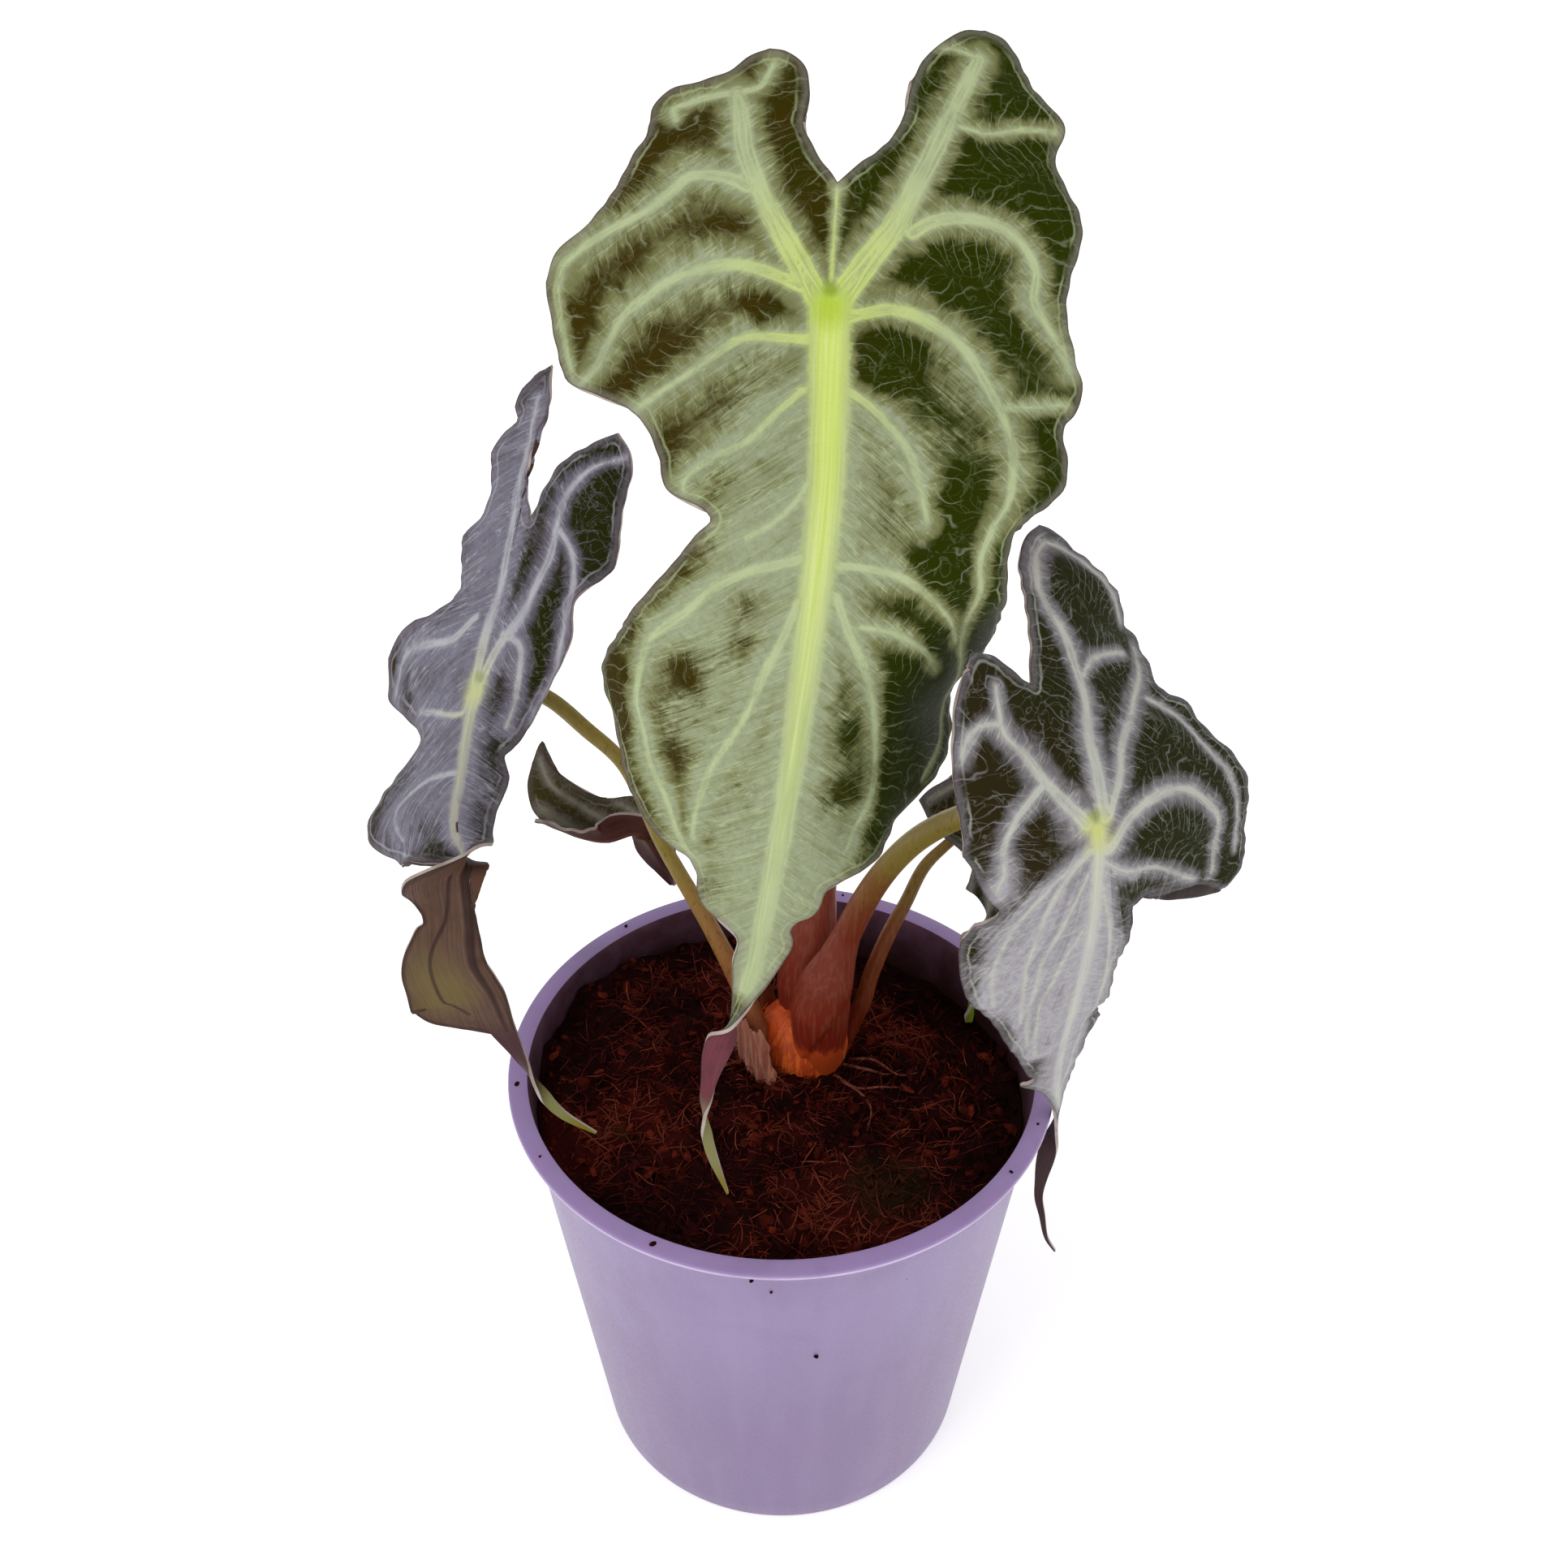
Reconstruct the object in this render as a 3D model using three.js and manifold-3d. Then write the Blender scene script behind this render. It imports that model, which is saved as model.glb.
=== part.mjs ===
// Potted aroid with five sinuate leaves in a round nursery pot.
// Millimetres, +Z up, front of the plant toward -Y, origin at the centre of the pot's base.
import * as THREE from 'three';
import Module from 'manifold-3d';

const wasm = await Module();
wasm.setup();

// Driving dimensions
const GAP = 0.3;
const POT_HEIGHT = 108;
const RIM_RADIUS = 60;
const FLANGE_WIDTH = 4.4;
const FLANGE_THICKNESS = 1.8;
const WALL = 1.1;
const BASE_RADIUS = 43.5;
const FLOOR = 1.3;
const FOOT_DISC_RADIUS = 14;
const CHANNEL_RISE = 3;
const CHANNEL_INNER = 16;
const CHANNEL_OUTER = 35.5;
const DRAIN_HOLES = 8;
const DRAIN_HOLE_RADIUS = 4;
const PETIOLE_SIDES = 10;
const PETIOLE_RINGS = 16;
const SOIL_TOP = 95;
const SOIL_RELIEF = 1.3;
const BLADE_THICKNESS = 0.8;
const CORM_CENTRE = [4.2, 16, 97];
const CORM_RADIUS = 10.5;
const CORM_HALF_HEIGHT = 12;

const WALL_TOP_RADIUS = RIM_RADIUS - FLANGE_WIDTH + WALL;

// Colours of the pieces
const COLOURS = {
  pot: 0xb7a6d6,
  soil: 0x3b2a24,
  corm: 0xb4662c,
  sheath: 0xc9a77c,
  petiole: 0x9a9a45,
  blade: 0x4c5a44,
};

// Leaves. Along a leaf, u runs in mm from the junction of its petiole (0) toward the tip, and the
// lobes behind the junction have negative u. Across it, w is the distance from the midrib.
// axis: [u, point on the midrib, direction that the upper face looks to]
// fold: [u, rise of left and right half at the midrib in degrees, their curl in degrees per mm]
// left, right: the margin from the sinus behind the junction, round the lobe, to the end of the tail
// notch: below a hanging lobe the margin turns back toward the midrib; its point on each half, the
// place on the midrib of the row that ends there, and the share of the rows above it
const FRONT_LEAF = {
  axis: [
    [-38, [10.5, 25, 308.5], [0, -0.8, 0.6]],
    [-21, [9.5, 12, 298.5], [0, -0.8, 0.6]],
    [0, [8.2, 0, 281.5], [0, -0.8, 0.6]],
    [17.5, [7.5, -13, 269.5], [0, -0.8, 0.6]],
    [32.5, [6.8, -23, 258.5], [0, -0.8, 0.6]],
    [46, [5.5, -29, 247], [0, -0.8, 0.6]],
    [60, [3.8, -33.5, 234], [0, -0.8, 0.6]],
    [75, [1.7, -36.5, 219.5], [0, -0.8, 0.6]],
    [91, [-0.5, -38, 203], [0, -0.8, 0.6]],
    [109, [-3, -38.5, 185], [0, -0.8, 0.6]],
    [130, [-6.4, -38.5, 164.5], [0, -0.8, 0.6]],
    [138, [-9, -39, 157], [-1, 0, 0.3]],
    [145, [-11.7, -40, 151], [0, 1, -0.3]],
    [156, [-14.2, -42, 140.5], [0.2, 1, -0.3]],
    [162, [-14.8, -43.5, 135], [1, 0, 0]],
    [168, [-14, -45.5, 129.5], [0, -1, 0.3]],
    [179, [-10.4, -50, 120.5], [0, -1, 0.3]],
  ],
  fold: [
    [-50, 0, 0, -0.5, -0.5],
    [0, 4, 4, -0.7, -0.7],
    [30, 2, 2, -0.8, -0.8],
    [50, -4, -8, -1, -1.1],
    [70, -8, -18, -1.1, -1.3],
    [90, -8, -18, -1.1, -1.3],
    [110, -6, -12, -1, -1],
    [130, 0, 0, 0, 0],
    [140, 0, 0, 0, 0],
  ],
  left: [
    [-21, 0], [-26, 4], [-32, 6.2], [-39, 5.8], [-44, 7], [-46.3, 10], [-46.8, 12.8], [-45.4, 16.2], [-42.5, 20],
    [-41, 26], [-40.2, 30], [-37, 32.8], [-30, 33], [-25, 35.4], [-18, 39.2], [-11.5, 44], [-8, 48.4], [-4, 50.6],
    [1.5, 49.7], [6, 48.2], [10.5, 45.4], [14.5, 39], [19.5, 31], [26, 28], [33, 26], [38, 18], [42, 21], [55, 30],
    [66, 38], [75, 42], [85, 40], [98, 29], [103, 23], [106, 15], [112, 12], [118, 4], [124, 4],
    [132, 2.4], [146, 2.3], [158, 2], [170, 2.2], [179, 0.8],
  ],
  right: [
    [-21, 0], [-28, 7], [-34, 10.3], [-40, 11], [-46, 13], [-51, 16], [-54.5, 20.5], [-55.2, 24], [-54, 28],
    [-50.5, 30.8], [-44, 34], [-40, 38], [-37, 38.8], [-33, 37.6], [-28, 39.5], [-21, 42], [-14.5, 42.8],
    [-8, 42], [-2.4, 41.4], [4, 43], [9, 45.4], [13, 44.2], [17, 41.5], [27, 42], [36, 35], [42, 35],
    [50, 40], [59, 47], [66, 46], [76, 46], [86, 44], [91, 41], [95, 28], [102, 22], [107, 11], [112, 10],
    [116, 6], [120, 7], [125, 5], [132, 2.4], [146, 2.3], [158, 2], [170, 2.2], [179, 0.8],
  ],
  leftSide: [-4, 50.6],
  rightSide: [-8, 42],
  leftTop: 6,
  rightTop: 7,
  tailStart: 130,
};

const RIGHT_LEAF = {
  axis: [
    [-54, [33, -11.2, 242], [0.66, -0.38, 0.62]],
    [-28, [43.6, -26, 223.6], [0.64, -0.4, 0.62]],
    [0, [54.9, -42, 203.7], [0.32, -0.78, 0.42]],
    [11.5, [55.5, -44.7, 192.5], [0.27, -0.86, 0.24]],
    [20.9, [55.4, -45.3, 183.2], [0.27, -0.9, 0.1]],
    [38.7, [55.1, -41.8, 165.9], [0.34, -0.9, -0.08]],
    [62.4, [55.5, -33, 143.5], [0.4, -0.9, -0.15]],
    [89, [57.5, -21.5, 119.5], [0.5, -0.8, -0.2]],
    [100.5, [58.9, -17, 109], [0.9, -0.4, 0.1]],
    [108, [59.4, -14.5, 102], [0.9, 0, 0]],
    [119.5, [58.6, -12.5, 90.5], [0.4, 0.9, 0]],
    [126.5, [58, -12.5, 83.5], [0.2, 1, 0]],
    [133, [57.9, -13, 77], [0.2, 1, 0]],
    [137.5, [58.8, -14, 73], [0.2, 1, 0]],
    [145, [60.5, -15, 65.5], [0.2, 1, 0]],
    [149.5, [62.6, -15, 61.5], [0.2, 1, 0]],
  ],
  fold: [
    [-60, 4, 6, -0.5, -0.5],
    [-40, 5, 14, -0.8, -0.6],
    [-28, -9, 10, -0.8, -0.6],
    [-15, -8, 0, -0.8, -0.6],
    [0, -4, -10, -0.8, -0.6],
    [20, -6, -8, -0.8, -0.6],
    [36, -9, -2, -0.8, -0.6],
    [43, -10, -3, -0.8, -0.6],
    [62, -12, -22, -0.8, -0.6],
    [87, -10, -14, -0.5, -0.5],
    [98, 0, 0, 0, 0],
    [110, 0, 0, 0, 0],
  ],
  left: [
    [-28, 0], [-31, 3], [-35, 6], [-36.5, 10.5], [-32, 16], [-24, 20], [-14, 22.8], [-4, 24.4], [3.6, 23.2],
    [10.6, 20.2], [14.6, 17.4], [18.2, 21.4], [23.6, 23.4], [31.8, 22.7], [40.8, 19.6], [52, 13.5], [62, 10], [74, 7],
    [78, 5], [81, 8], [85, 4.5], [90, 2.4], [97, 1.7], [108, 1.7], [120, 2], [130, 1.1], [149.5, 0.5],
  ],
  right: [
    [-28, 0], [-33.6, 3.2], [-41, 6], [-46.5, 9], [-50.5, 12], [-53.5, 16.5], [-54.5, 21], [-53, 25],
    [-50, 27.2], [-46, 29.2], [-41, 31], [-36.5, 33.5], [-32, 34], [-29, 37.5], [-24, 36], [-19, 31.5],
    [-14.8, 37.4], [-10, 38.4], [-5.2, 40.4], [0, 42], [4.8, 43.4], [11.2, 42.2], [17.2, 39.8], [24.2, 36.6],
    [27.4, 32.6], [21.5, 26.8], [18, 21.6], [16.4, 15.6], [16.2, 11.2], [17.4, 8.4], [23.2, 8], [31.2, 7.6],
    [41.6, 7], [52, 7.5], [61, 10], [70, 11.5], [77, 9],
    [80, 5], [90, 2.6], [97, 1.7], [108, 1.7], [120, 2], [130, 1.1], [149.5, 0.5],
  ],
  leftSide: [-4, 24.4],
  rightSide: [-5.2, 40.4],
  leftTop: 3,
  rightTop: 6,
  notch: { left: [18.2, 21.4], right: [17.4, 8.4], foot: 17.5, share: 0.48 },
  tailStart: 97,
};

const LEFT_LEAF = {
  axis: [
    [-60, [-44.9, 59.1, 234.5], [-0.3, -0.75, 0.5]],
    [-37, [-51.9, 46, 216.9], [-0.3, -0.75, 0.5]],
    [-18.6, [-56.9, 35, 203.1], [-0.2, -0.7, 0.55]],
    [0, [-63.1, 25, 188.7], [0, -0.5, 0.65]],
    [17, [-64.7, 10, 181], [-0.1, -0.42, 0.75]],
    [28.7, [-64.4, -1, 177], [-0.1, -0.4, 0.8]],
    [36.2, [-63.3, -8, 174.3], [-0.3, -0.3, 0.8]],
    [39.2, [-62.8, -10.3, 172.6], [-0.9, 0, 0.25]],
    [42.4, [-62.2, -12.4, 170.4], [-0.35, 0.85, -0.2]],
    [46.8, [-61.5, -14.6, 166.6], [0, 1, -0.3]],
    [51.9, [-61.1, -17, 162.2], [0, 1, -0.2]],
    [61, [-60.8, -20, 154], [0, 1, -0.2]],
    [69.9, [-57.7, -21, 146.4], [0, 1, -0.2]],
    [77, [-56.2, -21, 139.5], [0, 1, -0.1]],
    [87.3, [-53.6, -21, 129.5], [0.2, 1, 0]],
    [95.9, [-51, -21, 121.3], [1, 0.1, 0]],
    [104.5, [-46.2, -23, 115], [0, -1, 0.3]],
    [113.5, [-38.4, -27, 113], [0, -1, 0.3]],
  ],
  fold: [
    [-60, -4, 26, -0.8, -0.8],
    [-48, -7, 23, -0.8, -0.8],
    [-35, -15, 18, -0.8, -0.8],
    [-24, -22, 20, -0.8, -0.8],
    [-10, -20, 16, -0.8, -0.8],
    [0, -29, 10, -0.8, -0.8],
    [12, -30, -8, -0.8, -0.8],
    [22, -23, -12, -0.8, -0.8],
    [32, -32, -28, -0.8, -0.8],
    [38, -20, -20, -0.6, -0.4],
    [46, 0, 0, -0.3, -0.3],
    [80, 0, 0, 0, 0],
  ],
  left: [
    [-37, 0], [-43, 3], [-52, 4.5], [-61, 4], [-69, 6], [-65, 10], [-60, 13], [-57, 11], [-50, 14],
    [-42, 13], [-36, 15], [-32, 19], [-26, 17], [-18, 16], [-11, 19], [-7, 27], [-3, 33], [0, 31],
    [3, 22], [7, 15], [11, 17], [14, 24], [19, 29], [25, 27.5], [29, 22], [34, 13], [38, 6.5], [40.5, 2.6],
    [43, 1.3], [46, 1.1], [52, 1.4], [60, 2.4], [70, 2.6], [80, 2], [98, 2], [113.5, 0.8],
  ],
  right: [
    [-37, 0], [-44, 1.5], [-50, 4], [-55, 11], [-58, 17], [-54, 21], [-46, 22], [-36, 23], [-30, 22.5],
    [-25, 18], [-22, 16.5], [-17, 18], [-9, 16], [-2, 15], [6, 13], [12, 10], [14, 8.5], [20, 10],
    [28, 8], [34, 7.2], [37.2, 6.4], [38.8, 6.2], [40.4, 7.2], [41.6, 9.6], [42.8, 12], [45.2, 12.2], [48.4, 10.4],
    [52, 9.4], [53.4, 10.6], [57, 12.4], [62, 16], [68, 17.5], [74, 15],
    [77, 9], [80, 3.5], [88, 2], [98, 2], [113.5, 0.8],
  ],
  leftSide: [-3, 33],
  rightSide: [-2, 15],
  leftTop: 4,
  rightTop: 4,
  tailStart: 80,
};

const BACK_LEFT_LEAF = {
  axis: [
    [-25, [-55.3, 38, 145.6], [0, -0.35, 0.94]],
    [-9, [-39.9, 36, 141.1], [0, -0.35, 0.94]],
    [0, [-31.8, 35, 143.5], [0.2, 0.1, 0.95]],
    [5, [-29.3, 35, 139.5], [0.3, 0.6, 0.5]],
    [10, [-27.2, 35, 135], [0.3, 0.8, 0.3]],
    [17, [-24.8, 35, 128.8], [0.3, 0.8, 0.3]],
  ],
  fold: [
    [-25, 60, 22, -1, 1.5],
    [-9, 85, 20, -1, 0.5],
    [0, 70, 16, -1, 0],
    [6, 30, 8, 0, 0],
    [12, 0, 0, 0, 0],
  ],
  left: [
    [-24, 0], [-25, 1.5], [-23.5, 3.5], [-18, 5], [-12, 6.5], [-5, 7.5], [0, 7.5], [4, 6.5], [8, 4.6],
    [12, 2.6], [17, 0.8],
  ],
  right: [
    [-24, 0], [-26.5, 2], [-28.8, 6], [-29.3, 11.5], [-28.5, 17], [-27, 14], [-24.5, 11.8], [-20, 10.3],
    [-14, 9.5], [-6, 9.5], [0, 9.5], [4, 8.5], [8, 5.6], [12, 3], [17, 0.8],
  ],
  leftSide: [0, 7.5],
  rightSide: [0, 9.5],
  leftTop: 2,
  rightTop: 3,
  tailStart: 12,
};

const BACK_RIGHT_LEAF = {
  axis: [
    [-22, [55.3, 43.6, 172.5], [-0.08, -0.66, 0.74]],
    [0, [50, 28, 158], [-0.08, -0.66, 0.74]],
    [12, [47, 19.5, 150], [-0.2, -0.66, 0.6]],
    [23, [44.6, 12, 143], [-0.8, -0.4, 0.2]],
    [30, [43.4, 9.5, 136.5], [-0.5, 0.7, -0.3]],
    [42, [42, 8, 125], [0, 1, -0.1]],
    [48, [41.8, 8.5, 119], [1, 0.3, 0]],
    [57, [42, 9.6, 110], [0, -1, 0.1]],
  ],
  fold: [
    [-22, -6, -10, -0.8, -0.8],
    [0, -6, -20, -0.8, -0.8],
    [12, -8, -20, -0.8, -0.8],
    [26, -4, -6, -0.6, -0.6],
    [42, 0, 0, 0, 0],
  ],
  left: [
    [-10, 0], [-12, 3], [-11, 7], [-6, 11], [-2.5, 14.5], [0.5, 18.5], [3.5, 21], [6.5, 18.5], [9.5, 15],
    [11, 12], [13, 8], [16, 5.5], [19, 7], [23, 10], [27, 9.5], [31, 6.5], [35, 4], [39, 2],
    [48, 1.8], [57, 0.8],
  ],
  right: [
    [-10, 0], [-14, 4], [-20, 7], [-23, 12], [-20, 17], [-11, 19], [-2, 18], [7, 17], [13, 13], [20, 10],
    [28, 7], [34, 4.5], [39, 2], [48, 1.8], [57, 0.8],
  ],
  leftSide: [3.5, 21],
  rightSide: [-2, 18],
  leftTop: 4,
  rightTop: 3,
  tailStart: 40,
};

// Petioles: points up the centre line and the radius at each. The feet widen into clasping sheaths
const FRONT_PETIOLE = {
  points: [
    [5, 18, 94], [5.6, 19, 102], [5.8, 20, 113], [7.3, 20.5, 126.5], [8.4, 20.5, 138], [8.6, 20, 170],
    [8.6, 19.5, 205], [8.6, 14, 250], [8.4, 6, 272], [8.2, 0, 281.5],
  ],
  radii: [4, 5.6, 6.6, 5.2, 3.7, 3, 2.6, 2.2, 2, 1.9],
};
const LEFT_PETIOLE = {
  points: [
    [-3.9, 11.8, 90], [-5.6, 12.6, 104], [-8.2, 14.2, 113.5], [-15.4, 17.5, 130.3], [-22.4, 22, 142.6],
    [-26.2, 25, 149], [-34, 31, 165.5], [-41.5, 33, 173], [-51.1, 33, 182.4], [-63.1, 25, 188.7],
  ],
  radii: [2.4, 2.8, 2.6, 2.2, 2, 2, 2, 2, 1.9, 1.7],
};
const RIGHT_PETIOLE = {
  points: [
    [8.8, 10.5, 95], [8.8, 9.8, 104], [8.9, 9.6, 114], [10.2, 10, 121.7], [12.3, 10.8, 128],
    [14.4, 11, 134.8], [18.9, 9, 148.2], [23.4, 4.6, 160.2], [28.8, -2.4, 172.4], [36, -10.4, 183.4],
    [46.5, -26, 198], [54.9, -42, 203.7],
  ],
  radii: [4, 6, 6.6, 5.8, 4.1, 3.1, 2.8, 2.6, 2.5, 2.3, 2, 1.8],
};
const BACK_LEFT_PETIOLE = {
  points: [
    [-2.5, 23, 93], [-3.5, 23.5, 104], [-6.5, 24, 115], [-10.6, 25, 127.4], [-17.1, 29, 140.6],
    [-22.5, 32, 145.5], [-27.3, 34.5, 146], [-31.8, 35, 143.5],
  ],
  radii: [2, 2, 1.9, 1.7, 1.5, 1.4, 1.3, 1.2],
};
const BACK_RIGHT_PETIOLE = {
  points: [
    [13.5, 17.5, 92], [16.2, 16.5, 102.9], [18.4, 17, 108.6], [20.4, 18.5, 116.4], [24.1, 21, 126.1],
    [27.7, 23, 133.4], [31.6, 25, 142], [36.1, 26.5, 146.7], [43, 28, 152.5], [50, 28, 158],
  ],
  radii: [2, 2, 2, 1.8, 1.7, 1.5, 1.4, 1.2, 1.1, 1.1],
};

// Roots below the corm: points outward and down
const ROOTS = [
  [[4, 16, 90], [-12, 4, 76], [-24, -14, 58], [-28, -20, 36]],
  [[4, 16, 90], [22, 2, 74], [32, -12, 56], [30, -22, 34]],
  [[4, 16, 90], [18, 28, 72], [26, 32, 50], [18, 34, 26]],
  [[4, 16, 90], [-12, 26, 72], [-26, 28, 52], [-28, 20, 30]],
  [[4, 16, 89], [2, 2, 66], [6, -8, 44], [0, -4, 20]],
];
const ROOT_RADIUS = 1.5;

// Cubic curve through stations; each station is [u, value...]
function slope(stations, i, k) {
  const last = stations.length - 1;
  const step = (a, b) => (stations[b][k] - stations[a][k]) / (stations[b][0] - stations[a][0]);
  if (i === 0) return step(0, 1);
  if (i === last) return step(last - 1, last);
  const before = stations[i][0] - stations[i - 1][0];
  const after = stations[i + 1][0] - stations[i][0];
  return (step(i - 1, i) * after + step(i, i + 1) * before) / (before + after);
}

function glide(stations, u, k) {
  const last = stations.length - 1;
  let i = 0;
  while (i < last - 1 && u >= stations[i + 1][0]) i += 1;
  const h = stations[i + 1][0] - stations[i][0];
  const t = (u - stations[i][0]) / h;
  const m0 = slope(stations, i, k);
  const m1 = slope(stations, i + 1, k);
  if (t < 0) return stations[i][k] + t * h * m0;
  if (t > 1) return stations[i + 1][k] + (t - 1) * h * m1;
  const t2 = t * t;
  const t3 = t2 * t;
  return (2 * t3 - 3 * t2 + 1) * stations[i][k] + (t3 - 2 * t2 + t) * h * m0
    + (3 * t2 - 2 * t3) * stations[i + 1][k] + (t3 - t2) * h * m1;
}

function glideVector(stations, u, k) {
  return new THREE.Vector3(glide(stations, u, k), glide(stations, u, k + 1), glide(stations, u, k + 2));
}

// The bent sheet of a leaf: the place of (u, w), with w negative on the left half
function leafSheet(leaf) {
  const stations = leaf.axis.map(([u, point, face]) => [u, ...point, ...face]);
  const radians = (angle) => THREE.MathUtils.degToRad(angle);
  return (u, w) => {
    const step = 0.25;
    const centre = glideVector(stations, u, 1);
    const along = glideVector(stations, u + step, 1).sub(glideVector(stations, u - step, 1)).normalize();
    const across = glideVector(stations, u, 4).cross(along).normalize();
    const up = along.clone().cross(across);
    const half = w < 0 ? 1 : 2;
    const rise = radians(glide(leaf.fold, u, half));
    const curl = radians(glide(leaf.fold, u, half + 2) || 0.001);
    const turn = rise + curl * Math.abs(w);
    const outward = (Math.sin(turn) - Math.sin(rise)) / curl;
    const lift = (Math.cos(rise) - Math.cos(turn)) / curl;
    return centre.addScaledVector(across, Math.sign(w) * outward).addScaledVector(up, lift);
  };
}

// Points spread evenly along a smooth curve through the given [u, w] points
function spread(points, count) {
  const places = points.map(([u, w]) => new THREE.Vector3(u, w, 0));
  const curve = new THREE.CatmullRomCurve3(places, false, 'centripetal');
  curve.arcLengthDivisions = 400;
  return curve.getSpacedPoints(count).map((p) => [p.x, p.y]);
}

// Rows of one half of a leaf. A row runs from a rib to the margin; the rows of the lobe behind the
// junction stand on its basal rib, and the others on the midrib. The rows above a notch fan out from
// the midrib down to the notch's height, so that none of them cross.
function halfRows(leaf, half, counts) {
  const outline = leaf[half];
  const indexOf = (point) => outline.findIndex(([u, w]) => u === point[0] && w === point[1]);
  const sideIndex = indexOf(leaf[`${half}Side`]);
  const topIndex = leaf[`${half}Top`];
  const tailIndex = outline.findIndex(([u]) => u >= leaf.tailStart);
  const top = outline[topIndex];
  const rib = spread([[0, 0], [top[0] * 0.5, top[1] * 0.42], [top[0] * 0.86, top[1] * 0.88]], counts.lobe);
  const sinusCount = Math.round(counts.lobe / 3);
  const sinus = [];
  for (let i = 0; i < sinusCount; i += 1) sinus.push([outline[0][0] * i / sinusCount, 0]);
  const innerEdge = [...sinus, ...spread(outline.slice(0, topIndex + 1), counts.lobe - sinusCount)];
  const inner = rib.map((foot, i) => [innerEdge[i], foot]);
  const lobeEdge = spread(outline.slice(topIndex, sideIndex + 1), counts.lobe);
  const tailEdge = spread(outline.slice(tailIndex), counts.tail);
  const end = outline[outline.length - 1][0];
  const tailFoot = outline[tailIndex][0];
  const turnIndex = leaf.notch ? indexOf(leaf.notch[half]) : tailIndex;
  const turn = leaf.notch ? Math.round(counts.blade * leaf.notch.share) : counts.blade;
  const turnFoot = leaf.notch ? leaf.notch.foot : tailFoot;
  const sideEdge = spread(outline.slice(sideIndex, turnIndex + 1), turn);
  if (leaf.notch) {
    sideEdge.push(...spread(outline.slice(turnIndex, tailIndex + 1), counts.blade - turn).slice(1));
  }
  const outer = [];
  for (let i = 0; i <= counts.lobe; i += 1) outer.push([rib[counts.lobe - i], lobeEdge[i]]);
  for (let i = 1; i <= counts.blade; i += 1) {
    const foot = i <= turn
      ? turnFoot * (i / turn) ** 0.95
      : turnFoot + (tailFoot - turnFoot) * (i - turn) / (counts.blade - turn);
    outer.push([[foot, 0], sideEdge[i]]);
  }
  for (let i = 1; i <= counts.tail; i += 1) {
    outer.push([[tailFoot + (end - tailFoot) * i / counts.tail, 0], tailEdge[i]]);
  }
  return { inner, outer };
}

// Relief of the blade: the ribs are sunk, the fields between the side veins are puffed, the margin waves
function relief(u, w, toMargin, phase) {
  const rib = -0.5 * Math.exp(-((w / 2.2) ** 2));
  const puff = 0.35 * Math.sin(u * 0.42 - Math.abs(w) * 0.25 + phase) * Math.min(Math.abs(w) / 8, 1);
  const wave = 0.9 * Math.sin(u * 0.3 + phase * 2) * toMargin ** 3 * Math.min(Math.abs(w) / 10, 1);
  return rib + puff * (1 - toMargin ** 4) + wave;
}

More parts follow.
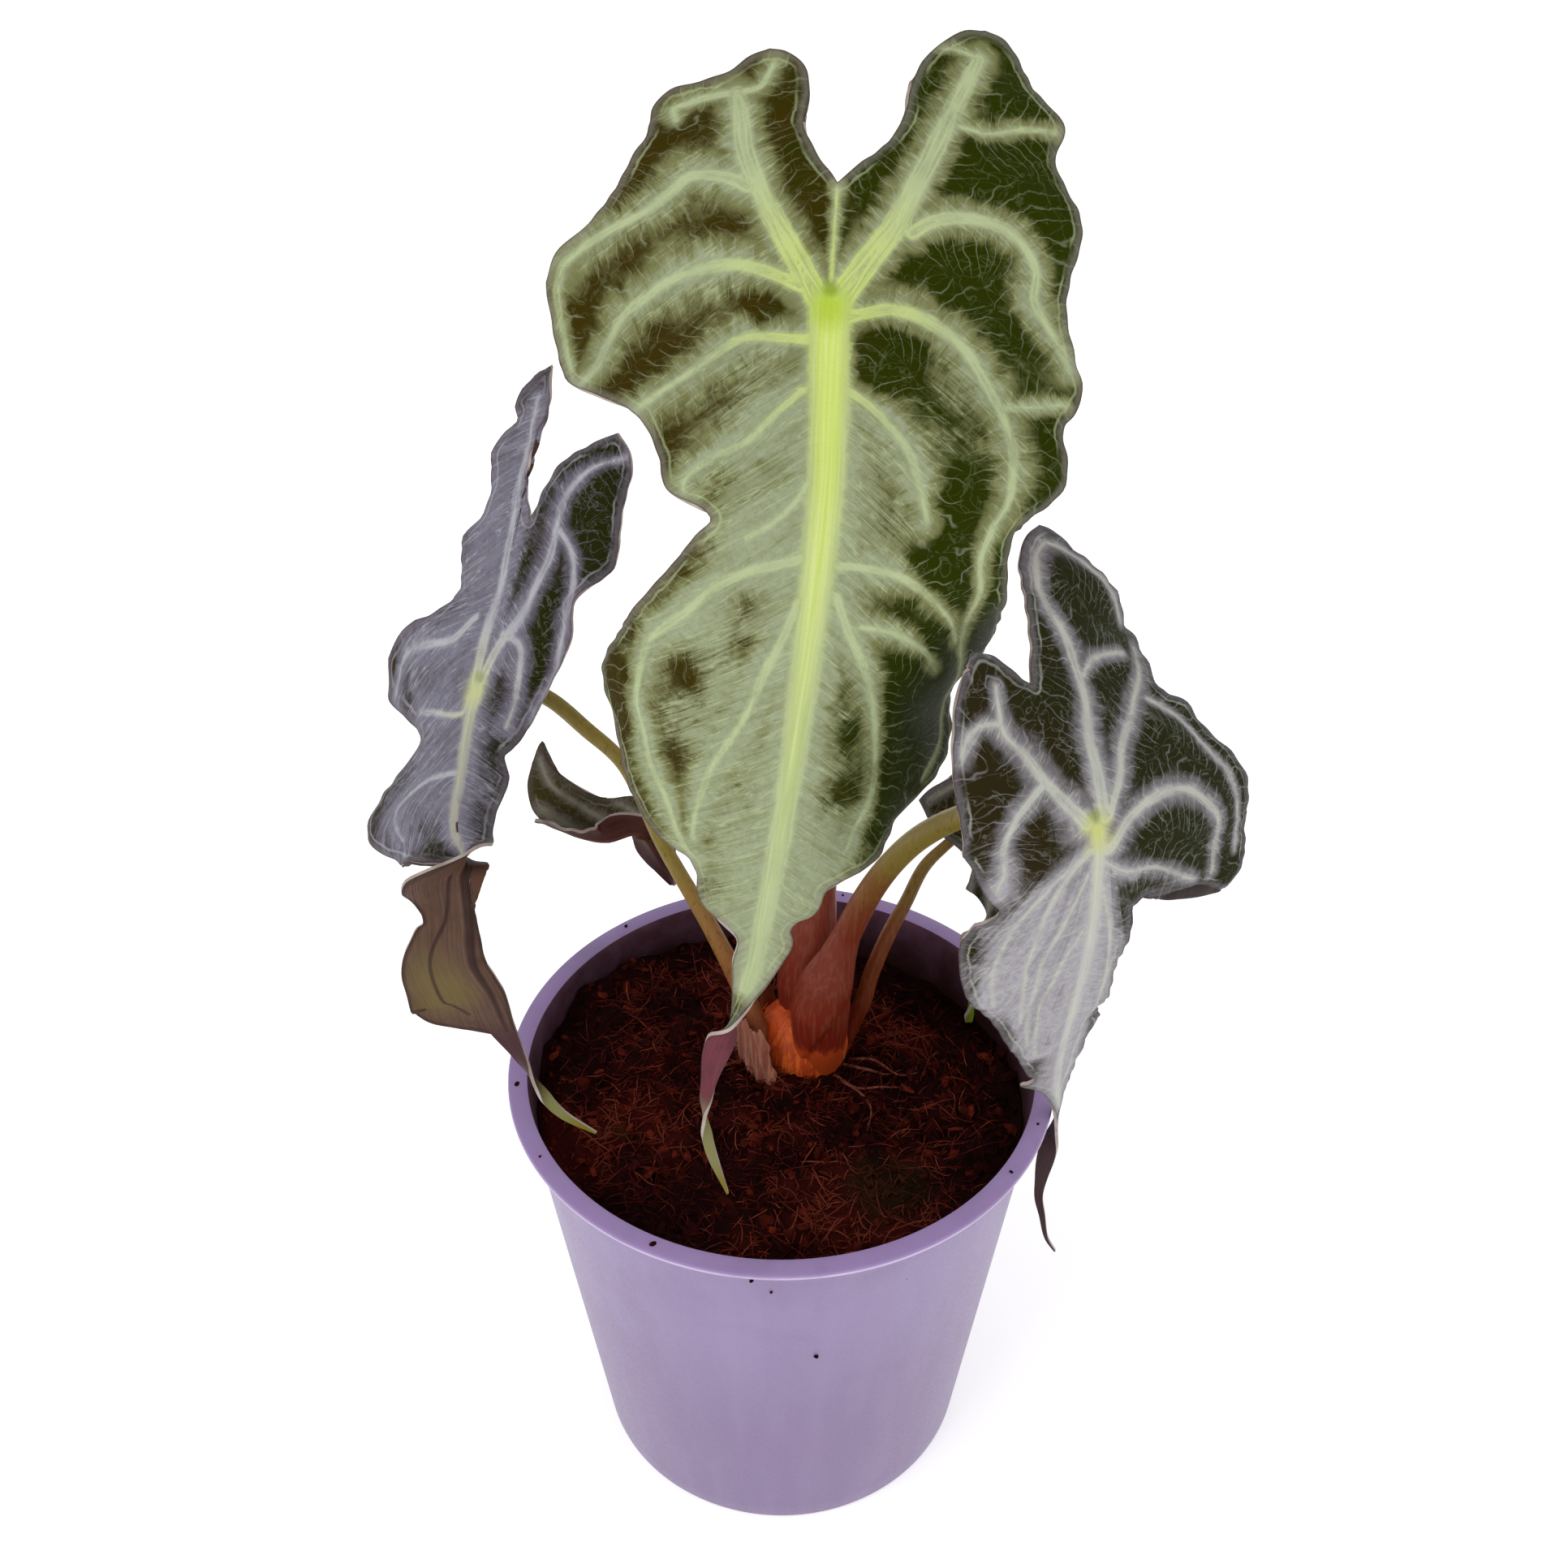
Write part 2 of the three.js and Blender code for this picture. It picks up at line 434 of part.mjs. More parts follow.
function bladeGeometry(leaf, thickness, counts) {
  const sheet = leafSheet(leaf);
  const places = [];
  const keys = new Map();
  const vertex = (u, w, toMargin, phase) => {
    const key = `${Math.round(u * 1000) + 0},${Math.round(w * 1000) + 0}`;
    if (!keys.has(key)) {
      keys.set(key, places.length);
      places.push([u, w, toMargin, phase]);
    }
    return keys.get(key);
  };
  const triangles = [];
  const margins = [];
  const addHalf = (half, sign) => {
    const { inner, outer } = halfRows(leaf, half, counts);
    const phase = sign > 0 ? 0.4 : 1.7;
    const columns = counts.columns;
    const strip = (rows, firstIsMargin) => {
      const grid = rows.map(([a, b]) => {
        const line = [];
        for (let j = 0; j <= columns; j += 1) {
          const t = j / columns;
          const toMargin = firstIsMargin ? 1 - t : t;
          line.push(vertex(a[0] + (b[0] - a[0]) * t, sign * (a[1] + (b[1] - a[1]) * t), toMargin, phase));
        }
        return line;
      });
      for (let i = 0; i < grid.length - 1; i += 1) {
        for (let j = 0; j < columns; j += 1) {
          const quad = [grid[i][j], grid[i + 1][j], grid[i + 1][j + 1], grid[i][j + 1]];
          const pair = [[quad[0], quad[1], quad[2]], [quad[0], quad[2], quad[3]]];
          pair.forEach((t) => {
            if (t[0] === t[1] || t[1] === t[2] || t[2] === t[0]) return;
            const swap = (sign > 0) === firstIsMargin;
            triangles.push(swap ? [t[0], t[2], t[1]] : t);
          });
        }
      }
      return grid;
    };
    const innerGrid = strip(inner, true);
    const outerGrid = strip(outer, false);
    const sinusCount = Math.round(counts.lobe / 3);
    const margin = innerGrid.slice(sinusCount).map((line) => line[0]);
    outerGrid.slice(1).forEach((line) => margin.push(line[columns]));
    const endRow = outerGrid[outerGrid.length - 1];
    margins.push([...margin, ...endRow.slice(0, columns).reverse()]);
  };
  addHalf('left', -1);
  addHalf('right', 1);

  // The relief fades toward the tail, and where a bend squeezes the sheet along the leaf
  const positions = [];
  places.forEach(([u, w, toMargin, phase]) => {
    const side = w === 0 ? 0.6 : 0.3;
    const alongU = sheet(u + 0.3, w).sub(sheet(u - 0.3, w));
    const alongW = sheet(u, w + side).sub(sheet(u, w - side));
    const squeeze = Math.min(1, alongU.length() / 0.6);
    const normal = alongU.cross(alongW).normalize();
    const fading = Math.min(1, Math.max(0, (leaf.tailStart - u) / 20)) * squeeze;
    const middle = sheet(u, w).addScaledVector(normal, relief(u, w, toMargin, phase) * fading);
    positions.push(middle.clone().addScaledVector(normal, thickness / 2));
    positions.push(middle.addScaledVector(normal, -thickness / 2));
  });
  const index = [];
  triangles.forEach(([a, b, c]) => {
    index.push(2 * a, 2 * b, 2 * c);
    index.push(2 * a + 1, 2 * c + 1, 2 * b + 1);
  });
  const [left, right] = margins;
  const loop = [...left, ...right.slice(1, -1).reverse()];
  for (let i = 0; i < loop.length; i += 1) {
    const a = loop[i];
    const b = loop[(i + 1) % loop.length];
    index.push(2 * a, 2 * b + 1, 2 * b);
    index.push(2 * a, 2 * a + 1, 2 * b + 1);
  }
  return closedGeometry(positions, index);
}

// A closed geometry whose faces look outward
function closedGeometry(points, index) {
  const geometry = new THREE.BufferGeometry();
  const numbers = points.flatMap((p) => [p.x, p.y, p.z]);
  geometry.setAttribute('position', new THREE.Float32BufferAttribute(numbers, 3));
  let volume = 0;
  for (let i = 0; i < index.length; i += 3) {
    const [a, b, c] = [points[index[i]], points[index[i + 1]], points[index[i + 2]]];
    volume += a.dot(b.clone().cross(c));
  }
  const outward = [...index];
  if (volume < 0) {
    for (let i = 0; i < index.length; i += 3) [outward[i + 1], outward[i + 2]] = [index[i + 2], index[i + 1]];
  }
  geometry.setIndex(outward);
  return geometry;
}

// A round rod along a smooth path, thicker by grow all round and longer by grow at both ends
function rodGeometry(points, radii, sides, rings, grow = 0) {
  const line = points.map((p) => new THREE.Vector3(...p));
  const curve = new THREE.CatmullRomCurve3(line, false, 'centripetal');
  const places = [];
  const index = [];
  let side = new THREE.Vector3(1, 0, 0);
  for (let i = 0; i <= rings; i += 1) {
    const t = i / rings;
    const along = curve.getTangent(t);
    side = side.clone().addScaledVector(along, -side.dot(along)).normalize();
    const other = along.clone().cross(side);
    const at = t * (radii.length - 1);
    const low = Math.min(Math.floor(at), radii.length - 2);
    const radius = THREE.MathUtils.lerp(radii[low], radii[low + 1], at - low) + grow;
    const centre = curve.getPoint(t);
    if (i === 0) centre.addScaledVector(along, -grow);
    if (i === rings) centre.addScaledVector(along, grow);
    for (let j = 0; j < sides; j += 1) {
      const angle = 2 * Math.PI * j / sides;
      const place = centre.clone().addScaledVector(side, radius * Math.cos(angle));
      places.push(place.addScaledVector(other, radius * Math.sin(angle)));
    }
  }
  for (let i = 0; i < rings; i += 1) {
    for (let j = 0; j < sides; j += 1) {
      const a = i * sides + j;
      const b = i * sides + (j + 1) % sides;
      index.push(a, b, b + sides, a, b + sides, a + sides);
    }
  }
  const last = rings * sides;
  for (let j = 1; j < sides - 1; j += 1) {
    index.push(0, j + 1, j);
    index.push(last, last + j, last + j + 1);
  }
  return closedGeometry(places, index);
}

function petioleGeometry(petiole, grow) {
  return rodGeometry(petiole.points, petiole.radii, PETIOLE_SIDES, PETIOLE_RINGS, grow);
}

// Solids joined and cut
function solid(geometry) {
  return new wasm.Manifold(new wasm.Mesh({
    numProp: 3,
    vertProperties: new Float32Array(geometry.getAttribute('position').array),
    triVerts: new Uint32Array(geometry.index.array),
  }));
}

function geometryOf(body) {
  const mesh = body.getMesh();
  const geometry = new THREE.BufferGeometry();
  geometry.setAttribute('position', new THREE.Float32BufferAttribute(mesh.vertProperties, 3));
  geometry.setIndex(Array.from(mesh.triVerts));
  return geometry;
}

function largestPiece(body) {
  return body.decompose().reduce((best, piece) => (piece.volume() > best.volume() ? piece : best));
}

// Pot
function potProfile() {
  const flangeBottom = POT_HEIGHT - FLANGE_THICKNESS;
  const inner = WALL_TOP_RADIUS - WALL;
  const floorTop = CHANNEL_RISE + FLOOR;
  return [
    [0, 0], [FOOT_DISC_RADIUS, 0], [CHANNEL_INNER, CHANNEL_RISE], [CHANNEL_OUTER, CHANNEL_RISE],
    [CHANNEL_OUTER + 2, 0], [BASE_RADIUS - 1, 0], [BASE_RADIUS, 1], [WALL_TOP_RADIUS, flangeBottom],
    [RIM_RADIUS - 0.5, flangeBottom], [RIM_RADIUS, flangeBottom + 0.5], [RIM_RADIUS, POT_HEIGHT - 0.4],
    [RIM_RADIUS - 0.4, POT_HEIGHT], [inner + 0.8, POT_HEIGHT], [inner, POT_HEIGHT - 0.8],
    [BASE_RADIUS - WALL, FLOOR], [CHANNEL_OUTER + 2.6, FLOOR], [CHANNEL_OUTER + 0.6, floorTop],
    [CHANNEL_INNER - 0.6, floorTop], [FOOT_DISC_RADIUS - 0.6, FLOOR], [0, FLOOR],
  ];
}

// A turned solid built ring by ring, with single points on the axis
function turnedSolid(profile, segments) {
  const places = [];
  const rings = profile.map(([r, z]) => {
    if (r === 0) {
      places.push(new THREE.Vector3(0, 0, z));
      return [places.length - 1];
    }
    const first = places.length;
    for (let j = 0; j < segments; j += 1) {
      const angle = 2 * Math.PI * j / segments;
      places.push(new THREE.Vector3(r * Math.cos(angle), r * Math.sin(angle), z));
    }
    return Array.from({ length: segments }, (_, j) => first + j);
  });
  const index = [];
  for (let i = 0; i < rings.length - 1; i += 1) {
    const [low, high] = [rings[i], rings[i + 1]];
    for (let j = 0; j < segments; j += 1) {
      const next = (j + 1) % segments;
      if (low.length === 1) index.push(low[0], high[j], high[next]);
      else if (high.length === 1) index.push(low[j], high[0], low[next]);
      else index.push(low[j], high[j], high[next], low[j], high[next], low[next]);
    }
  }
  return closedGeometry(places, index);
}

function makePot() {
  let pot = solid(turnedSolid(potProfile(), 60));
  const ringRadius = (CHANNEL_INNER + CHANNEL_OUTER) / 2;
  for (let i = 0; i < DRAIN_HOLES; i += 1) {
    const angle = 2 * Math.PI * i / DRAIN_HOLES;
    const hole = wasm.Manifold.cylinder(8, DRAIN_HOLE_RADIUS, DRAIN_HOLE_RADIUS, 16)
      .translate([ringRadius * Math.cos(angle), ringRadius * Math.sin(angle), 0]);
    pot = pot.subtract(hole);
  }
  return pot;
}

// Corm with its roots, grown as one piece
function cormGeometry(grow) {
  const profile = [];
  const steps = 10;
  for (let i = 0; i <= steps; i += 1) {
    const angle = Math.PI * (i / steps - 0.5);
    const swell = 1 + 0.06 * Math.sin(i * 2.4);
    profile.push([i === 0 || i === steps ? 0 : (CORM_RADIUS * swell + grow) * Math.cos(angle),
      (CORM_HALF_HEIGHT + grow) * Math.sin(angle)]);
  }
  const geometry = turnedSolid(profile, 20);
  geometry.translate(...CORM_CENTRE);
  return geometry;
}

function cormSolid(grow) {
  let corm = solid(cormGeometry(grow));
  ROOTS.forEach((points) => {
    const radii = [ROOT_RADIUS, ROOT_RADIUS, ROOT_RADIUS * 0.8, ROOT_RADIUS * 0.5];
    corm = corm.add(solid(rodGeometry(points, radii, 5, 5, grow)));
  });
  return corm;
}

// Papery sheath: a curved flake that stands beside the corm
function sheathGeometry(grow) {
  const rows = 7;
  const columns = 8;
  const places = [];
  const index = [];
  const at = (side, i, j) => (side * (rows + 1) + i) * (columns + 1) + j;
  [1, -1].forEach((side) => {
    for (let i = 0; i <= rows; i += 1) {
      const t = i / rows;
      const height = 88 + 24 * t - grow + 2 * grow * t;
      const reach = (34 - 14 * t * t + grow * 4) * Math.PI / 180;
      const radius = 13.2 + 2.6 * t + 0.4 * Math.sin(5 * t) + side * (0.5 + grow);
      for (let j = 0; j <= columns; j += 1) {
        const angle = Math.PI * 1.2 + reach * (2 * j / columns - 1);
        places.push(new THREE.Vector3(CORM_CENTRE[0] + radius * Math.cos(angle),
          CORM_CENTRE[1] + radius * Math.sin(angle), height));
      }
    }
  });
  for (let i = 0; i < rows; i += 1) {
    for (let j = 0; j < columns; j += 1) {
      index.push(at(0, i, j), at(0, i, j + 1), at(0, i + 1, j + 1));
      index.push(at(0, i, j), at(0, i + 1, j + 1), at(0, i + 1, j));
      index.push(at(1, i, j), at(1, i + 1, j + 1), at(1, i, j + 1));
      index.push(at(1, i, j), at(1, i + 1, j), at(1, i + 1, j + 1));
    }
  }
  const loop = [];
  for (let j = 0; j <= columns; j += 1) loop.push([0, j]);
  for (let i = 1; i <= rows; i += 1) loop.push([i, columns]);
  for (let j = columns - 1; j >= 0; j -= 1) loop.push([rows, j]);
  for (let i = rows - 1; i > 0; i -= 1) loop.push([i, 0]);
  loop.forEach(([i, j], n) => {
    const [k, m] = loop[(n + 1) % loop.length];
    index.push(at(0, i, j), at(1, i, j), at(1, k, m), at(0, i, j), at(1, k, m), at(0, k, m));
  });
  return closedGeometry(places, index);
}

// Soil that fills the pot, with a crumbly top that is heaped at the back left and low at the back right
function soilHeap(x, y) {
  const raised = 7 * Math.exp(-((x + 36) ** 2 + (y - 22) ** 2) / 1100);
  const sunk = 3 * Math.exp(-((x - 32) ** 2 + (y - 30) ** 2) / 700);
  return raised - sunk;
}

function soilGeometry() {
  const segments = 40;
  const wallRadius = (z) => {
    const t = (z - FLOOR) / (POT_HEIGHT - 0.8 - FLOOR);
    return THREE.MathUtils.lerp(BASE_RADIUS - WALL, WALL_TOP_RADIUS - WALL, t) - GAP;
  };
  const low = FLOOR + GAP;
  const raised = CHANNEL_RISE + FLOOR + GAP;
  const profile = [
    [0, low], [FOOT_DISC_RADIUS - 0.8, low], [CHANNEL_INNER - 0.9, raised], [CHANNEL_OUTER + 0.9, raised],
    [CHANNEL_OUTER + 2.9, low], [wallRadius(low), low], [wallRadius(SOIL_TOP - 2), SOIL_TOP - 2],
    [53, SOIL_TOP - 0.4], [48, SOIL_TOP], [42, SOIL_TOP], [35, SOIL_TOP], [27, SOIL_TOP + 0.4],
    [19, SOIL_TOP + 0.8], [10, SOIL_TOP + 0.8], [0, SOIL_TOP],
  ];
  const geometry = turnedSolid(profile, segments);
  const position = geometry.getAttribute('position');
  for (let i = 0; i < position.count; i += 1) {
    const [x, y, z] = [position.getX(i), position.getY(i), position.getZ(i)];
    if (z < SOIL_TOP - 3) continue;
    const radius = Math.hypot(x, y);
    const broad = Math.sin(x * 0.37 + y * 0.21) + Math.sin(y * 0.43 - x * 0.29 + 1.3);
    const crumb = broad + 0.6 * Math.sin(x * 0.83 + y * 0.71);
    const height = z + soilHeap(x, y) + (radius < 50 ? SOIL_RELIEF * crumb * 0.5 : 0);
    const outward = z < SOIL_TOP - 1 ? wallRadius(height) / radius : 1;
    position.setXYZ(i, x * outward, y * outward, height);
  }
  return geometry;
}

function named(name, body, colour) {
  const geometry = body instanceof THREE.BufferGeometry ? body : geometryOf(body);
  const mesh = new THREE.Mesh(geometry, new THREE.MeshStandardMaterial({ color: colour, roughness: 0.6 }));
  mesh.name = name;
  return mesh;
}

function build() {
  const group = new THREE.Group();
  group.name = 'potted_alocasia';

  const large = { lobe: 11, blade: 31, tail: 9, columns: 6 };
  const medium = { lobe: 9, blade: 25, tail: 8, columns: 5 };
  const small = { lobe: 6, blade: 14, tail: 5, columns: 4 };
  // The outermost petiole comes first, and clasps those after it
  const plants = [
    ['right', RIGHT_LEAF, RIGHT_PETIOLE, medium],
    ['front', FRONT_LEAF, FRONT_PETIOLE, large],
    ['left', LEFT_LEAF, LEFT_PETIOLE, medium],
    ['back_left', BACK_LEFT_LEAF, BACK_LEFT_PETIOLE, small],
    ['back_right', BACK_RIGHT_LEAF, BACK_RIGHT_PETIOLE, small],
  ];

  let corm = cormSolid(0);
  let sheath = solid(sheathGeometry(0));
  let soil = solid(soilGeometry()).subtract(cormSolid(GAP)).subtract(solid(sheathGeometry(GAP)));

  let clasping = [];
  plants.forEach(([name, leaf, petiole, counts]) => {
    const blade = bladeGeometry(leaf, BLADE_THICKNESS, counts);
    const cutter = solid(bladeGeometry(leaf, BLADE_THICKNESS + 2 * GAP, counts));
    let stalk = solid(petioleGeometry(petiole, 0)).subtract(cutter);
    clasping.forEach((outer) => {
      stalk = stalk.subtract(outer);
    });
    stalk = largestPiece(stalk);
    const clearance = solid(petioleGeometry(petiole, GAP));
    clasping = [...clasping, clearance];
    corm = corm.subtract(clearance);
    sheath = sheath.subtract(clearance);
    soil = soil.subtract(clearance);
    group.add(named(`blade_${name}`, blade, COLOURS.blade));
    group.add(named(`petiole_${name}`, stalk, COLOURS.petiole));
  });
  sheath = sheath.subtract(cormSolid(GAP));

  group.add(named('pot', makePot(), COLOURS.pot));
  group.add(named('soil', largestPiece(soil), COLOURS.soil));
  group.add(named('corm', largestPiece(corm), COLOURS.corm));
  group.add(named('sheath', largestPiece(sheath), COLOURS.sheath));
  return group;
}

export default build();
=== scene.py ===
"""A potted aroid with dark, pale-veined leaves: the looks of each piece, around the solid frame."""
import math
import bpy
import numpy as np
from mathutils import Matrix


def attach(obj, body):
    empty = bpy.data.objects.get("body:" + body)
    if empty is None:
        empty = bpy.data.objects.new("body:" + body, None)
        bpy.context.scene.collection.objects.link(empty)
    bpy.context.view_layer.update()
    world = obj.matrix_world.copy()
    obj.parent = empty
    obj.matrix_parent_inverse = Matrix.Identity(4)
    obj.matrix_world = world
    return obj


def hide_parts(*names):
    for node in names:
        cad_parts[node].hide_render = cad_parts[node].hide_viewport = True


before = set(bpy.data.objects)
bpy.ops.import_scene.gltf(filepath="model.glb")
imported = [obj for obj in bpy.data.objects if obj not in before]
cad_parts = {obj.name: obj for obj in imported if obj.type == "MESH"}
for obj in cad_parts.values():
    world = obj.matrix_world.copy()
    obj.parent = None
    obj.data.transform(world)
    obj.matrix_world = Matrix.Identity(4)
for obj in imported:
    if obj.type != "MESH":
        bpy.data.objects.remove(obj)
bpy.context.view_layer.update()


# Pot
# A nursery pot, injection moulded in lilac polypropylene. Its tapered wall ends in a flat flange,
# and its floor has a raised channel with eight drainage holes. Nothing holds it: it stands free.
MM = 0.001
POT_HEIGHT = 108
RIM_RADIUS = 60
WALL = 1.1
BASE_RADIUS = 43.5
WALL_TOP_RADIUS = 56.7
FLANGE_BOTTOM = 106.2
FLOOR = 1.3
CHANNEL_RISE = 3
DRAIN_HOLES = 8
HOLE_RADIUS = 4
HOLE_RING = 25.75


def pick(piece):
    """Makes a piece the only one that is selected."""
    bpy.ops.object.select_all(action="DESELECT")
    bpy.context.view_layer.objects.active = piece
    piece.select_set(True)


def edit_all(operator, **settings):
    """Runs one operator of edit mode on the whole active piece."""
    bpy.ops.object.mode_set(mode="EDIT")
    bpy.ops.mesh.select_all(action="SELECT")
    operator(**settings)
    bpy.ops.object.mode_set(mode="OBJECT")


def fresh(add, **sizes):
    """Adds one primitive with nothing else selected, and returns it."""
    bpy.ops.object.select_all(action="DESELECT")
    add(**sizes)
    return bpy.context.object


def points_of(piece):
    """The mesh points of a piece as rows of x, y and z."""
    flat = np.empty(len(piece.data.vertices) * 3)
    piece.data.vertices.foreach_get("co", flat)
    return flat.reshape(-1, 3)


def put_points(piece, points):
    piece.data.vertices.foreach_set("co", np.asarray(points, dtype=float).ravel())
    piece.data.update()


def finish_with(piece, kind, **settings):
    """Adds a modifier to a piece and applies it."""
    pick(piece)
    modifier = piece.modifiers.new(kind.lower(), kind)
    for setting, value in settings.items():
        setattr(modifier, setting, value)
    bpy.ops.object.modifier_apply(modifier=modifier.name)


def smooth(piece, angle):
    pick(piece)
    bpy.ops.object.shade_smooth_by_angle(angle=math.radians(angle))


def turned(name, rings, segments):
    """A turned piece, raised ring by ring from the disc inside its first (radius, height) in mm."""
    radius, height = rings[0]
    piece = fresh(bpy.ops.mesh.primitive_circle_add, vertices=segments, radius=radius * MM,
                  fill_type="TRIFAN", enter_editmode=True)
    bpy.ops.mesh.select_all(action="SELECT")
    bpy.ops.transform.translate(value=(0, 0, height * MM))
    bpy.ops.mesh.region_to_loop()
    for new_radius, new_height in rings[1:]:
        bpy.ops.mesh.extrude_region_move(
            TRANSFORM_OT_translate={"value": (0, 0, (new_height - height) * MM)})
        factor = new_radius / radius
        bpy.ops.transform.resize(value=(factor, factor, 1), center_override=(0, 0, 0))
        radius, height = new_radius, new_height
    bpy.ops.mesh.merge(type="CENTER")
    bpy.ops.mesh.select_all(action="SELECT")
    bpy.ops.mesh.normals_make_consistent(inside=False)
    bpy.ops.object.mode_set(mode="OBJECT")
    piece.name = name
    return piece


def join(name, pieces):
    """Joins pieces into one and names it."""
    bpy.ops.object.select_all(action="DESELECT")
    for piece in pieces:
        piece.select_set(True)
    bpy.context.view_layer.objects.active = pieces[0]
    bpy.ops.object.join()
    bpy.context.object.name = name
    return bpy.context.object


def wall_radius(z):
    """Outer radius of the pot's wall at height z."""
    return BASE_RADIUS + (WALL_TOP_RADIUS - BASE_RADIUS) * z / FLANGE_BOTTOM


inner_top = WALL_TOP_RADIUS - WALL
wall_heights = np.linspace(1.2, FLANGE_BOTTOM - 1.4, 24)
pot_rings = [(2, 0), (14, 0), (16, CHANNEL_RISE), (35.5, CHANNEL_RISE), (37.5, 0),
             (BASE_RADIUS - 1.1, 0), (BASE_RADIUS - 0.3, 0.4)]
pot_rings += [(wall_radius(z), z) for z in wall_heights]
pot_rings += [(wall_radius(104.8) + 0.35, 105.3), (WALL_TOP_RADIUS + 0.5, FLANGE_BOTTOM),
              (59.2, FLANGE_BOTTOM), (59.8, FLANGE_BOTTOM + 0.25), (RIM_RADIUS, FLANGE_BOTTOM + 0.7),
              (RIM_RADIUS, 107.3), (59.8, 107.75), (59.3, POT_HEIGHT), (inner_top + 0.8, POT_HEIGHT),
              (inner_top + 0.2, 107.75), (inner_top, 107.2)]
pot_rings += [(wall_radius(z) - WALL, z) for z in np.linspace(105.5, 2, 20)]
pot_rings += [(BASE_RADIUS - WALL - 1, FLOOR), (38.1, FLOOR), (36.1, FLOOR + CHANNEL_RISE),
              (15.4, FLOOR + CHANNEL_RISE), (13.4, FLOOR), (2, FLOOR)]
pot = turned("pot_shell", pot_rings, 160)

drills = []
for hole in range(DRAIN_HOLES):
    angle = 2 * math.pi * hole / DRAIN_HOLES
    hole_place = (HOLE_RING * MM * math.cos(angle), HOLE_RING * MM * math.sin(angle), 3.6 * MM)
    drills.append(fresh(bpy.ops.mesh.primitive_cylinder_add, vertices=32, radius=HOLE_RADIUS * MM,
                        depth=16 * MM, location=hole_place))
drill = join("drain_drill", drills)
finish_with(pot, "BOOLEAN", operation="DIFFERENCE", object=drill, solver="EXACT")
bpy.data.objects.remove(drill)
smooth(pot, 32)


def dye(red, green, blue):
    """An 8-bit display colour as the linear colour that a shader takes."""
    return tuple((c / 255 / 12.92) if c < 11 else ((c / 255 + 0.055) / 1.055) ** 2.4
                 for c in (red, green, blue)) + (1,)


def wire(tree, kind, *inputs, out=0, **settings):
    """Adds a shader node and returns its output. None leaves an input as it is."""
    made = tree.nodes.new("ShaderNode" + kind)
    for setting, value in settings.items():
        setattr(made, setting, value)
    for socket, value in zip([s for s in made.inputs if s.enabled], inputs):
        if isinstance(value, bpy.types.NodeSocket):
            tree.links.new(value, socket)
        elif value is not None:
            socket.default_value = value
    return [s for s in made.outputs if s.enabled][out]


def maths(tree, operation, *inputs):
    return wire(tree, "Math", *inputs, operation=operation)


def mix(tree, factor, first, second):
    return wire(tree, "Mix", factor, first, second, data_type="RGBA")


def fade(tree, value, low, high, start=0.0, end=1.0):
    """start where the value is low, end where it is high, and smooth between."""
    return wire(tree, "MapRange", value, low, high, start, end, interpolation_type="SMOOTHSTEP")


def over(tree, body, colour, value, *levels):
    """A colour laid over the body as far as the value fades, with levels as fade takes them."""
    return mix(tree, fade(tree, value, *levels), body, colour)


def noise(tree, vector, scale, detail=3.0, roughness=0.5, distortion=0.0):
    return wire(tree, "TexNoise", vector, scale, detail, roughness, None, distortion)


def effect(name, places, colours, numbers, shows):
    """A new node group: the labels of its vector, colour and number inputs, and of its outputs."""
    group = bpy.data.node_groups.new(name, "ShaderNodeTree")
    for kind, labels in (("Vector", places), ("Color", colours), ("Float", numbers)):
        for label in labels:
            group.interface.new_socket(name=label, in_out="INPUT", socket_type="NodeSocket" + kind)
    for label in shows:
        kind = "Color" if label == "Colour" else "Float"
        group.interface.new_socket(name=label, in_out="OUTPUT", socket_type="NodeSocket" + kind)
    enter = group.nodes.new("NodeGroupInput")
    leave = group.nodes.new("NodeGroupOutput")
    return group, {s.name: s for s in enter.outputs}, {s.name: s for s in leave.inputs}


def put_out(group, leave, **values):
    """Links what a node group puts out, and returns the group."""
    for label, value in values.items():
        group.links.new(value, leave[label])
    return group


def use(tree, group, values):
    """Places a node group and returns its outputs by name."""
    placed = tree.nodes.new("ShaderNodeGroup")
    placed.node_tree = group
    for label, value in values.items():
        if isinstance(value, bpy.types.NodeSocket):
            tree.links.new(value, placed.inputs[label])
        else:
            placed.inputs[label].default_value = value
    return placed.outputs


def material(name, **settings):
    """A material and its tree and main shader, with settings on the shader's own sockets."""
    made = bpy.data.materials.new(name)
    made.use_nodes = True
    shader = made.node_tree.nodes["Principled BSDF"]
    for setting, value in settings.items():
        shader.inputs[setting.replace("_", " ")].default_value = value
    return made, made.node_tree, shader


def feed(tree, shader, colour=None, roughness=None, height=None, strength=0.4, distance=0.0004):
    """Links a colour, a roughness and a bump height to the main shader."""
    if colour is not None:
        tree.links.new(colour, shader.inputs["Base Color"])
    if roughness is not None:
        tree.links.new(roughness, shader.inputs["Roughness"])
    if height is not None:
        bump = tree.nodes.new("ShaderNodeBump")
        bump.inputs["Strength"].default_value = strength
        bump.inputs["Distance"].default_value = distance
        tree.links.new(height, bump.inputs["Height"])
        tree.links.new(bump.outputs["Normal"], shader.inputs["Normal"])


def from_place(tree, vector, place):
    """Distance of each point from a place."""
    return wire(tree, "VectorMath", wire(tree, "VectorMath", vector, place, operation="SUBTRACT"),
                operation="LENGTH")


def here(tree):
    """Object coordinates of the point that is shaded, in metres."""
    return wire(tree, "TexCoord", out=3)


